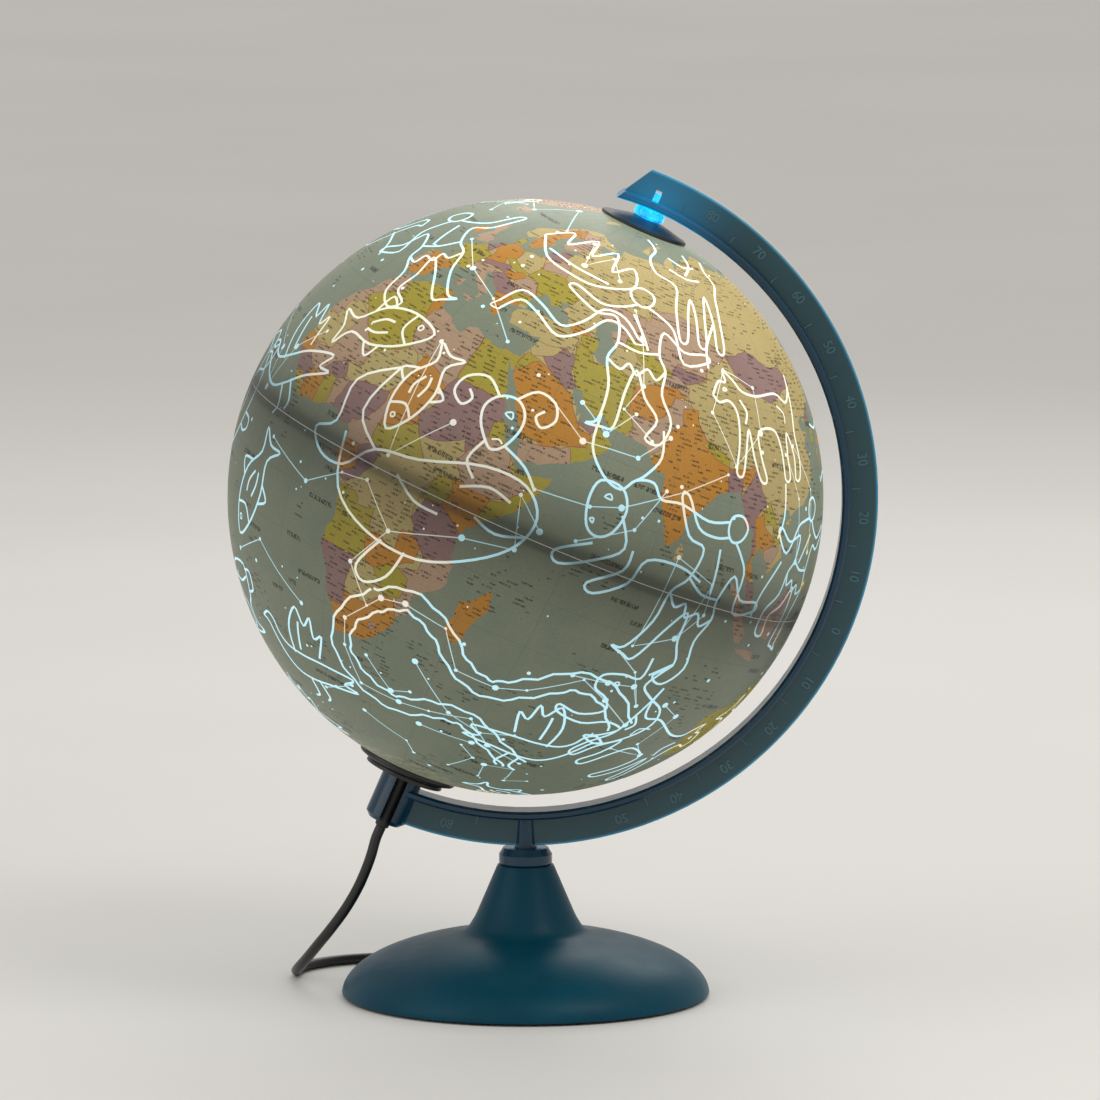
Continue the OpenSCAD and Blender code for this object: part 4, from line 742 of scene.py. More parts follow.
    ("T", [(12, -6), (16.4, -5.9), (18, -8), (21.8, -7.2), (22, -11), (25, -11.6), (28.6, -13.2), (28.4, -9), (30.8, -8.4), (29.2, -4), (29.6, 1), (31, 3.6), (27.4, 5.2), (22.4, 4.2), (18.6, 4), (18, 1), (16, -2), (14, -4.8)]), ("Y", [(15, 7.5), (19, 9), (22.8, 11), (24.4, 8.6), (27.4, 5), (22.4, 4.1), (18.6, 3.5), (16, 3), (14.4, 5)]),
    ("M", [(2.7, 6), (3, 9), (3.6, 11.8), (7, 13.1), (13.6, 13.7), (14, 11.6), (12, 7.4), (9, 5.8), (8.4, 3.6), (4, 3.6)]), ("P", [(8.4, 4.6), (12, 7.2), (14.2, 12.8), (15.4, 10), (15, 6), (16, 2), (9.4, 2.2)]), ("O", [(8, 2.3), (13.2, 2.3), (14.4, -1.6), (11.6, -4), (8, -1)]), ("M", [(11, -4.4), (14.4, -1.8), (13, 2), (16, 3.6), (18.6, 3.6), (17.6, -0.6), (16, -3.4), (13, -5.2)]),
    ("Y", [(11, -6), (16.4, -5.9), (18, -8), (21.8, -7.2), (22, -11), (24, -12.8), (22, -16.2), (23.4, -17.6), (14, -17.4), (11, -17.2)]), ("O", [(21.8, -13), (24, -11), (28.4, -13), (28.6, -8.4), (31, -8.6), (33.2, -10), (33, -13.6), (30.2, -15.2), (27, -17.8), (23.4, -17.6)]),
    ("P", [(30.4, -15.8), (34.4, -14.4), (34.6, -11.6), (41.6, -10.4), (42, -15), (36, -21), (37, -25), (32, -27), (31.8, -23), (33, -19)]), ("M", [(11, -17.2), (21, -18), (20, -22), (20, -28.4), (16, -30), (12, -24)]), ("T", [(20, -22), (21, -18.4), (25.2, -17.8), (29.4, -22), (25, -25.6), (20, -27)]), ("Y", [(25.3, -17.8), (28, -16), (30.6, -15.8), (33, -17), (32.6, -21.4), (29.4, -22.2)]),
    ("O", [(14, -28.6), (20, -28.4), (20, -25), (25.2, -25.8), (29.4, -22.2), (31.4, -22.2), (33.6, -26.8), (34, -31), (26, -37), (16, -36)]), ("P", [(27, -29.6), (28.6, -28.7), (29.4, -29.6), (28, -30.6)]), ("O", [(42, -11), (52, -11), (52, -27), (42, -27)]),
    ("M", [(-5.4, 10.4), (-3, 13.4), (0.3, 15), (2.2, 12), (0, 11), (-2.8, 9.8)]), ("O", [(-8.4, 7.6), (-8, 10.3), (-2.8, 9.8), (-3, 4), (-7.6, 3.6)]), ("Y", [(-3, 11), (0, 11), (1.2, 6), (1, 4), (-3, 4)]), ("P", [(0, 11), (3.6, 11.8), (2.8, 5), (1, 5)]), ("O", [(-18, 17), (-12.4, 15), (-11.4, 12.4), (-18, 12)]), ("M", [(-18, 12.4), (-11.4, 12.4), (-8, 10.2), (-8.6, 7.6), (-13, 6.6), (-17, 9)]), ("Y", [(-14, 8), (-10.4, 8.8), (-7.4, 4.4), (-9, 3), (-14, 7)]),
    # Americas
    ("T", [(-170, 73), (-141, 71), (-141, 60.4), (-130, 54.6), (-140, 56), (-170, 50)]), ("P", [(-141, 84), (-50, 84), (-50, 44), (-67, 44.4), (-75, 45), (-83, 42), (-89, 48), (-95, 49), (-126, 49), (-132, 54), (-141, 60.4)]), ("Y", [(-126, 49), (-95, 49), (-89, 48), (-83, 42), (-75, 45), (-67, 47.4), (-65, 44), (-78, 24), (-97, 25.8), (-103, 29), (-108, 31.6), (-117, 32.5), (-128, 40)]), ("O", [(-118, 32.5), (-108, 31.6), (-103, 29), (-97, 26), (-90, 25), (-86, 20), (-91, 17), (-94, 13), (-112, 20)]), ("M", [(-92.4, 18), (-86, 18), (-76, 8), (-82, 6), (-93, 13)]),
    ("O", [(-80, 13), (-72, 13), (-70, 6), (-67, 2), (-70, -4), (-76, 0), (-80, 1.4)]), ("M", [(-72, 13), (-60, 12), (-60, 6), (-64, 3.6), (-67, 1), (-68, 6), (-72, 8)]), ("P", [(-61, 9), (-50, 7), (-51, 1.6), (-58, 1.2), (-61, 5)]), ("Y", [(-70, -4), (-68, 1.4), (-60, 4.6), (-51, 3), (-30, -4), (-36, -18), (-52, -35), (-57.6, -30), (-54, -25), (-58, -20), (-60, -14), (-70, -11), (-73, -9)]), ("T", [(-83, -3), (-76, 0), (-70, -4), (-73, -9), (-69, -13), (-70, -18.4), (-78, -18)]), ("M", [(-69.4, -11), (-60, -14), (-58, -20), (-66, -22.6), (-69.6, -17.6)]),
    ("O", [(-71, -22), (-66, -22.4), (-58, -24), (-54, -27), (-58, -34), (-54, -40), (-64, -56), (-68, -56), (-72, -50), (-70, -34)]), ("P", [(-62.6, -22), (-58, -20), (-54, -25.4), (-57.6, -27.4)]), ("Y", [(-58, -30), (-53, -32.6), (-53, -36), (-58.4, -34)]), ("P", [(-76, -18), (-69.4, -17.6), (-68, -23), (-70, -34), (-72, -50), (-68, -56), (-80, -56)]),
    ("P", [(-80, 84), (-10, 84), (-10, 58), (-60, 58)]), ("Y", [(-86, 24), (-66, 22), (-66, 17), (-78, 17)]),
]

# Generic sky figures in their own small frames, drawn for this model: (closed, points)
MOTIFS = {
    "fish": [(1, [(-1, 0), (-0.5, 0.32), (0.1, 0.36), (0.6, 0.14), (0.95, 0.34), (0.85, 0), (0.95, -0.32), (0.6, -0.12), (0.1, -0.34), (-0.5, -0.3)]), (0, [(-0.55, 0.28), (-0.4, 0), (-0.55, -0.26)]), (1, [(-0.76, 0.08), (-0.7, 0.12), (-0.66, 0.06), (-0.72, 0.02)]), (0, [(-0.1, 0.36), (0.1, 0.6), (0.3, 0.28)]), (0, [(-0.1, -0.34), (0.12, -0.55), (0.25, -0.27)]), (0, [(-0.2, 0.1), (0, 0.14), (0.25, 0.06)]), (0, [(-0.15, -0.1), (0.1, -0.12), (0.3, -0.05)])],
    "bird": [(0, [(-0.9, 0.5), (-0.7, 0.6), (-0.55, 0.5), (-0.5, 0.3), (-0.35, 0.12), (0, 0), (0.4, -0.1), (0.95, -0.35), (0.7, -0.45), (0.9, -0.62), (0.4, -0.5), (0, -0.45), (-0.35, -0.35), (-0.55, -0.1), (-0.68, 0.25), (-0.75, 0.42), (-0.9, 0.5)]), (0, [(-0.2, 0.02), (-0.1, 0.5), (0.2, 0.85), (0.3, 0.55), (0.5, 0.7), (0.45, 0.35), (0.65, 0.4), (0.4, 0)]), (0, [(-0.1, -0.42), (-0.15, -0.75), (-0.3, -0.82)]), (0, [(0.1, -0.44), (0.1, -0.78), (-0.02, -0.88)]), (0, [(0, 0.1), (0.1, 0.4), (0.18, 0.6)])],
    "whale": [(0, [(-0.55, 0.75), (-0.85, 0.5), (-0.8, 0.15), (-0.98, 0.02), (-0.8, -0.12), (-0.55, -0.1), (-0.35, 0.12), (0, 0.22), (0.45, 0.42), (0.8, 0.45), (1, 0.28), (0.95, 0.02), (0.7, -0.22), (0.3, -0.42), (-0.15, -0.42), (-0.5, -0.26), (-0.66, 0.12)]), (0, [(-0.35, 0.12), (-0.62, 0.32), (-0.55, 0.75)]), (0, [(0, -0.42), (-0.12, -0.7), (-0.02, -0.8), (0.14, -0.66), (0.2, -0.42)]), (0, [(0.98, 0.1), (0.75, 0.02), (0.55, 0.06)]), (0, [(0.35, 0.2), (0.55, 0.3), (0.75, 0.28)]), (0, [(-0.1, 0.05), (0.1, -0.05), (0.3, -0.05)])],
    "ram": [(1, [(-0.3, 0.3), (-0.1, 0.52), (0.2, 0.55), (0.4, 0.35), (0.42, 0.05), (0.25, -0.3), (0.05, -0.42), (-0.1, -0.3), (-0.28, 0)]), (0, [(0.2, 0.55), (0.5, 0.8), (0.85, 0.7), (0.95, 0.4), (0.75, 0.2), (0.6, 0.35), (0.72, 0.5)]), (0, [(-0.1, 0.5), (-0.4, 0.8), (-0.78, 0.72), (-0.92, 0.42), (-0.72, 0.2), (-0.56, 0.34), (-0.66, 0.5)]), (1, [(0.08, 0.25), (0.2, 0.3), (0.22, 0.18)]), (0, [(0, -0.25), (0.12, -0.22), (0.2, -0.28)]), (0, [(0.25, -0.3), (0.7, -0.55), (1, -0.9)]), (0, [(-0.1, -0.3), (-0.3, -0.7), (-0.1, -1)])],
    "beast": [(0, [(-1, 0.42), (-0.82, 0.6), (-0.68, 0.58), (-0.66, 0.75), (-0.52, 0.6), (-0.4, 0.42), (-0.1, 0.34), (0.4, 0.38), (0.66, 0.26), (0.88, 0.45), (0.98, 0.7), (0.8, 0.1), (0.72, -0.2), (0.78, -0.55), (0.74, -0.82), (0.6, -0.82), (0.6, -0.5), (0.46, -0.18), (0.4, -0.5), (0.42, -0.82), (0.28, -0.82), (0.24, -0.4), (0.12, -0.14), (-0.25, -0.16), (-0.28, -0.5), (-0.2, -0.84), (-0.34, -0.84), (-0.44, -0.5), (-0.46, -0.12), (-0.6, -0.45), (-0.72, -0.76), (-0.84, -0.7), (-0.7, -0.3), (-0.62, 0.1), (-0.72, 0.3), (-0.92, 0.3), (-1, 0.42)]), (1, [(-0.78, 0.46), (-0.74, 0.5), (-0.7, 0.46)]), (0, [(-0.5, 0.3), (-0.42, 0.12), (-0.5, -0.04)]), (0, [(0.35, 0.2), (0.5, 0.1), (0.48, -0.05)])],
    "bull": [(0, [(-0.95, 0.85), (-0.9, 0.45), (-0.66, 0.2), (-0.42, 0.14), (-0.3, 0.3), (-0.1, 0.36), (0.05, 0.24), (0.3, 0.3), (0.7, 0.28), (1, 0.4)]), (0, [(-0.2, 0.95), (-0.12, 0.65), (-0.22, 0.4), (-0.3, 0.3)]), (1, [(-0.66, 0.14), (-0.4, 0.16), (-0.26, -0.04), (-0.3, -0.3), (-0.44, -0.42), (-0.6, -0.36), (-0.7, -0.1)]), (0, [(-0.28, -0.1), (-0.1, -0.4), (-0.35, -0.66), (-0.7, -0.88), (-0.8, -0.76), (-0.45, -0.5)]), (0, [(0, -0.38), (0, -0.62), (-0.3, -0.92), (-0.18, -1), (0.12, -0.72), (0.2, -0.4), (0.6, -0.3), (0.95, -0.35)]), (1, [(-0.55, 0), (-0.5, 0.05), (-0.46, 0)]), (1, [(-0.6, -0.28), (-0.56, -0.26), (-0.55, -0.31)])],
    "man": [(1, [(-0.12, 0.78), (-0.14, 0.94), (0, 1.02), (0.14, 0.94), (0.12, 0.78), (0, 0.7)]), (0, [(-0.06, 0.72), (-0.24, 0.62), (-0.5, 0.6), (-0.8, 0.84), (-0.88, 0.78), (-0.56, 0.46), (-0.3, 0.44), (-0.26, 0.1), (-0.36, -0.14), (-0.3, -0.5), (-0.36, -0.92), (-0.5, -1), (-0.3, -1), (-0.16, -0.96), (-0.1, -0.5), (0, -0.2), (0.14, -0.5), (0.34, -0.72), (0.24, -0.98), (0.44, -1), (0.52, -0.7), (0.34, -0.4), (0.34, -0.1), (0.24, 0.1), (0.28, 0.42), (0.55, 0.26), (0.84, 0.36), (0.9, 0.28), (0.56, 0.1), (0.4, 0.5), (0.22, 0.64), (0.06, 0.72)]), (0, [(-0.26, 0.1), (0, 0.04), (0.24, 0.1)]), (0, [(-0.36, -0.14), (-0.2, -0.24), (-0.1, -0.14), (0, -0.26), (0.12, -0.14), (0.24, -0.24), (0.34, -0.1)]), (0, [(0.9, 0.2), (0.86, 0.5), (0.98, 0.95)]), (0, [(-0.1, 0.55), (0.02, 0.3), (0.1, 0.1)])],
    "hare": [(0, [(-0.2, 0.9), (-0.1, 0.5), (-0.42, 0.4), (-0.7, 0.2), (-0.62, -0.05), (-0.3, -0.1), (-0.1, -0.3), (-0.4, -0.6), (-0.8, -0.66), (-0.7, -0.8), (-0.2, -0.72), (0.15, -0.45), (0.5, -0.45), (0.3, -0.75), (0.1, -0.9), (0.5, -0.92), (0.85, -0.5), (0.98, -0.1), (0.8, 0.2), (0.4, 0.3), (0.1, 0.42), (0.14, 0.7), (0.25, 1), (-0.02, 0.62)]), (1, [(-0.42, 0.2), (-0.36, 0.25), (-0.32, 0.19)]), (0, [(0.5, -0.1), (0.66, -0.25), (0.6, -0.42)])],
    "tall": [(0, [(-0.4, 1), (-0.36, 0.7), (-0.5, 0.4), (-0.46, 0.1), (-0.2, -0.05), (-0.24, -0.5), (-0.2, -1), (-0.08, -1), (-0.06, -0.5), (0, -0.2), (0.06, -0.5), (0.1, -0.95), (0.22, -0.95), (0.2, -0.45), (0.24, 0), (0.34, -0.45), (0.4, -0.9), (0.52, -0.88), (0.46, -0.4), (0.44, 0.1), (0.5, 0.45), (0.4, 0.7), (0.42, 1)]), (0, [(-0.2, 0.6), (0, 0.5), (0.2, 0.62)]), (0, [(-0.24, 0.3), (0, 0.22), (0.22, 0.32)]), (0, [(0.1, 0.9), (0.12, 0.6), (0, 0.3)])],
    "crown": [(0, [(-0.9, 0.1), (-0.5, -0.4), (0, -0.5), (0.5, -0.4), (0.9, 0.1), (0.6, 0.5), (0.45, 0.1), (0.2, 0.6), (0, 0.15), (-0.2, 0.6), (-0.45, 0.1), (-0.6, 0.5), (-0.9, 0.1)]), (0, [(-0.6, -0.2), (0, -0.3), (0.6, -0.2)])],
    "cup": [(1, [(-0.5, 0.6), (0.5, 0.6), (0.42, 0), (0.12, -0.25), (0.1, -0.6), (0.4, -0.8), (-0.4, -0.8), (-0.1, -0.6), (-0.12, -0.25), (-0.42, 0)]), (0, [(0.5, 0.5), (0.8, 0.45), (0.75, 0.1), (0.42, 0.05)]), (0, [(-0.48, 0.35), (0, 0.25), (0.48, 0.35)])],
    "snake": [(0, [(-1, 0.2), (-0.7, 0.42), (-0.4, 0.2), (-0.1, -0.1), (0.2, 0.05), (0.45, 0.34), (0.75, 0.3), (1, 0.02)]), (0, [(-1, 0.04), (-0.7, 0.24), (-0.44, 0.04), (-0.12, -0.28), (0.24, -0.12), (0.5, 0.16), (0.74, 0.14), (0.96, -0.08)]), (0, [(1, 0.02), (1.1, -0.04), (0.96, -0.08)]), (0, [(-1, 0.2), (-1.12, 0.12), (-1, 0.04)])],
}
# motif, longitude, latitude, half size in degrees, turn, mirrored
PLACES = [
    ("whale", 26, -1, 27, -4, 0), ("fish", 19, 17, 10, 78, 0), ("fish", 2, 24, 12, 20, 1), ("ram", 37, 17, 11, 8, 0), ("man", 60, 42, 17, 6, 0), ("tall", 78, 64, 15, -6, 0), ("bull", 72, 12, 18, -6, 0), ("man", 89, 1, 18, -16, 0),
    ("beast", 101, 38, 14, 10, 0), ("hare", 86, -24, 12, -12, 0), ("beast", 104, -33, 15, -18, 1), ("bird", 76, -41, 13, -8, 1), ("bird", 6, -46, 13, 16, 0), ("crown", 33, 60, 12, -10, 0), ("man", -8, 44, 16, 44, 1), ("man", 119, 10, 15, -14, 1), ("fish", -14, -16, 12, 66, 0), ("bird", -18, 10, 14, 40, 0), ("snake", 40, 43, 14, 16, 0),
    ("cup", -24, -40, 10, 10, 0), ("fish", 134, -26, 12, -30, 1), ("bull", 148, 34, 16, 0, 1), ("beast", 176, 12, 17, 0, 0), ("man", -160, -20, 17, 0, 0), ("bird", -140, 26, 16, 0, 0), ("snake", -130, -44, 20, 6, 0), ("fish", -112, 4, 13, 30, 0), ("beast", -96, 44, 16, 0, 1), ("man", -72, 8, 17, 0, 1), ("hare", -60, -34, 12, 0, 0), ("bird", -46, 40, 14, 0, 1), ("whale", -34, -2, 14, 60, 1),
    ("crown", 160, -50, 11, 0, 0), ("cup", 150, -8, 9, 0, 1), ("beast", -170, 56, 13, 0, 0), ("tall", -120, 66, 11, 0, 0), ("snake", -60, 66, 12, 0, 0), ("fish", -90, -30, 12, -20, 0), ("bird", -20, -66, 10, 0, 0), ("fish", 100, -66, 9, 0, 1),
]
RIVER = [(28, -24), (35, -21), (43, -24), (50, -30), (58, -32), (66, -28), (74, -23), (83, -24), (91, -30)]
RIVER_B = [(28, -24), (22, -30), (21, -38), (28, -44), (38, -46), (48, -43), (57, -42), (67, -46), (78, -50)]
STICKS = [  # thin lines from star to star
    [(-10, -5), (4, -9), (12, -4), (18, -3), (26, -10), (20, -19), (26, -26)], [(26, -10), (40, -5), (50, -3), (47, 7), (53, 2)], [(17, 27), (20, 3), (29, 14)], [(45, 26), (54, 21), (66, 22), (72, 28)], [(40, -33), (52, -42), (62, -44), (70, -41)], [(56, 52), (60, 46), (63, 36), (60, 30), (68, 26)], [(63, 30), (58, 24), (51, 28)],
    [(66, 12), (60, 10), (49, 9)], [(66, 12), (78, 19), (88, 25)], [(74, 18), (70, 9), (60, 3)], [(81, 7), (91, 4), (88, -8), (80, -12), (81, 7)], [(88, -8), (92, -2), (91, 4)], [(72, -22), (80, -21), (86, -20), (90, -24), (84, -17), (78, -14)], [(97, -22), (103, -24), (101, -33), (107, -36), (95, -36)], [(24, -47), (18, -50), (13, -52)],
    [(28, -53), (44, -57), (48, -61)], [(46, -49), (62, -48)], [(62, -60), (66, -53), (60, -50)], [(75, -60), (71, -54), (80, -52), (84, -58), (90, -55)], [(-20, -30), (-8, -25), (8, -33)], [(-4, 50), (8, 44), (20, 40), (30, 33)], [(22, 62), (30, 66), (34, 58), (42, 64), (48, 58)], [(86, 46), (97, 44), (98, 35), (90, 27), (82, 36), (86, 46)], [(108, 32), (114, 24), (116, 12)], [(112, 34), (121, 26), (122, 14)],
    [(28, -37), (36, -43), (41, -41)],
]
rnd = random.Random(71)
for _ in range(46):                                     # the far side of the sky
    lo_, la_ = rnd.uniform(125, 330), rnd.uniform(-72, 76)
    st = [(lo_, la_)]
    for _k in range(rnd.randint(2, 4)):
        lo_, la_ = lo_ + rnd.uniform(-11, 13) / max(0.35, math.cos(math.radians(la_))), max(-78, min(80, la_ + rnd.uniform(-10, 10)))
        st.append((lo_, la_))
    STICKS.append(st)


def geo(lon, lat):
    a, b = math.radians(lon - 51.0), math.radians(lat)
    return Vector((math.cos(b) * math.sin(a), -math.cos(b) * math.cos(a), math.sin(b)))


def split(pts, step, rough, closed=True, seed=1):
    """Adds points along a lon/lat outline, pushed aside a little so that it looks like a coast."""
    r = random.Random(seed)
    out = []
    n = len(pts)
    for i in range(n if closed else n - 1):
        a, b = pts[i], pts[(i + 1) % n]
        c = max(0.15, math.cos(math.radians((a[1] + b[1]) / 2)))
        d = math.hypot((b[0] - a[0]) * c, b[1] - a[1])
        k = max(1, int(d / step))
        for j in range(k):
            t = j / k
            w = rough * min(1, d / 3) * (0 if j == 0 else 1)
            out.append((a[0] + (b[0] - a[0]) * t + r.uniform(-w, w) / c, a[1] + (b[1] - a[1]) * t + r.uniform(-w, w)))
    if not closed:
        out.append(pts[-1])
    return out


def ribbon(line, half, closed=False):
    """Quads along a line of unit vectors, half wide in radians on both sides."""
    n = len(line)
    left, right = [], []
    for i, p in enumerate(line):
        a = line[(i - 1) % n] if closed or i else line[0]
        b = line[(i + 1) % n] if closed or i < n - 1 else line[-1]
        t = b - a
        s = p.cross(t)
        if s.length < 1e-9:
            s = p.orthogonal()
        s.normalize()
        left.append((p + s * half).normalized())
        right.append((p - s * half).normalized())
    out = []
    for i in range(n if closed else n - 1):
        j = (i + 1) % n
        out += [(left[i], right[i], right[j]), (left[i], right[j], left[j])]
    return out


def dot(p, half, n=8):
    u = p.orthogonal().normalized()
    w = p.cross(u)
    return [(p + half * (math.cos(2 * math.pi * k / n) * u + math.sin(2 * math.pi * k / n) * w)).normalized() for k in range(n)]


MMR = 1 / R                                             # a millimetre on the ball, in radians
polys = []                                              # (kind, index, points as unit vectors)
for name, pts in LAND.items():
    polys.append(("sea" if name.startswith("sea") else "land", 0, [geo(*p) for p in split(pts, 1.0, 0.26, seed=len(pts))]))
for i, (c, pts) in enumerate(COUNTRIES):
    line = [geo(*p) for p in split(pts, 1.3, 0.30, seed=500 + i)]
    polys.append(("country", i, line))
    for q in ribbon(line, 0.17 * MMR, True):
        polys.append(("border", i, q))


def draw(line, half, kind, stars=False, closed=False):
    for q in ribbon(line, half * MMR, closed):
        polys.append((kind, 0, q))
    if stars:
        for p in line:
            polys.append((kind, 0, dot(p, half * MMR, 6)))


def smooth_sphere(pts, closed, n):
    if closed:
        m = len(pts)
        ext = [pts[-1]] + pts + [pts[0], pts[1]]
        out = catmull([(a, b, 0) for a, b in ext], n)[n:n * (m + 1)]
    else:
        out = catmull([(a, b, 0) for a, b in pts], n)
    return [(p[0], p[1]) for p in out]


for k, (name, lon, lat, size, turn, flip) in enumerate(PLACES):
    c = geo(lon, lat)
    east = geo(lon + 90, 0)
    north = c.cross(east).normalized()
    ca, sa = math.cos(math.radians(turn)), math.sin(math.radians(turn))
    s = math.radians(size)
    for closed, pts in MOTIFS[name]:
        span = max(max(p[0] for p in pts) - min(p[0] for p in pts), max(p[1] for p in pts) - min(p[1] for p in pts))
        fine = smooth_sphere(pts, closed, 4 if span > 0.3 else 3)
        line = []
        for x, y in fine:
            x = -x if flip else x
            line.append((c + (x * ca - y * sa) * s * east + (x * sa + y * ca) * s * north).normalized())
        draw(line, 0.56 if span > 0.3 else 0.38, "figure", closed=bool(closed))
for base_line in (RIVER, RIVER_B):
    fine = smooth_sphere(base_line, False, 6)
    for off in (-2.2, 2.2):
        line = []
        for i, p in enumerate(fine):
            a, b = fine[max(0, i - 1)], fine[min(len(fine) - 1, i + 1)]
            dx, dy = (b[0] - a[0]) * math.cos(math.radians(p[1])), b[1] - a[1]
            d = math.hypot(dx, dy) or 1
            wave = off + 0.28 * math.sin(i * 1.7 + off)
            line.append(geo(p[0] - dy / d * wave / math.cos(math.radians(p[1])), p[1] + dx / d * wave))
        draw(line, 0.56, "figure")
    stars_ = [p for i, p in enumerate(base_line)]
    STICKS.append([(a + 0.8 * (-1) ** i, b + 0.9 * (-1) ** i) for i, (a, b) in enumerate(stars_)])
for line in STICKS:
    v = [geo(*p) for p in line]
    fine = []
    for a, b in zip(v, v[1:]):
        k = max(1, int((b - a).length * R / 7))
        fine += [(a.lerp(b, j / k)).normalized() for j in range(k)]
    fine.append(v[-1])
    draw(fine, 0.24, "thin")
    for i, p in enumerate(v):
        polys.append(("star", 0, dot(p, rnd.choice((0.7, 0.9, 1.1, 1.5)) * MMR)))
for _ in range(330):
    z, a = rnd.uniform(-0.93, 0.98), rnd.uniform(-math.pi, math.pi)
    p = Vector((math.sqrt(1 - z * z) * math.cos(a), math.sqrt(1 - z * z) * math.sin(a), z))
    polys.append(("star", 0, dot(p, rnd.choice((0.32, 0.4, 0.5, 0.5, 0.7, 0.95)) * MMR, 6)))
SKY = dict(O=srgb(196, 128, 14), Y=srgb(172, 156, 32), T=srgb(192, 171, 110), M=srgb(146, 108, 112), P=srgb(184, 150, 124), SEA=srgb(125, 138, 121), W=srgb(150, 155, 132))


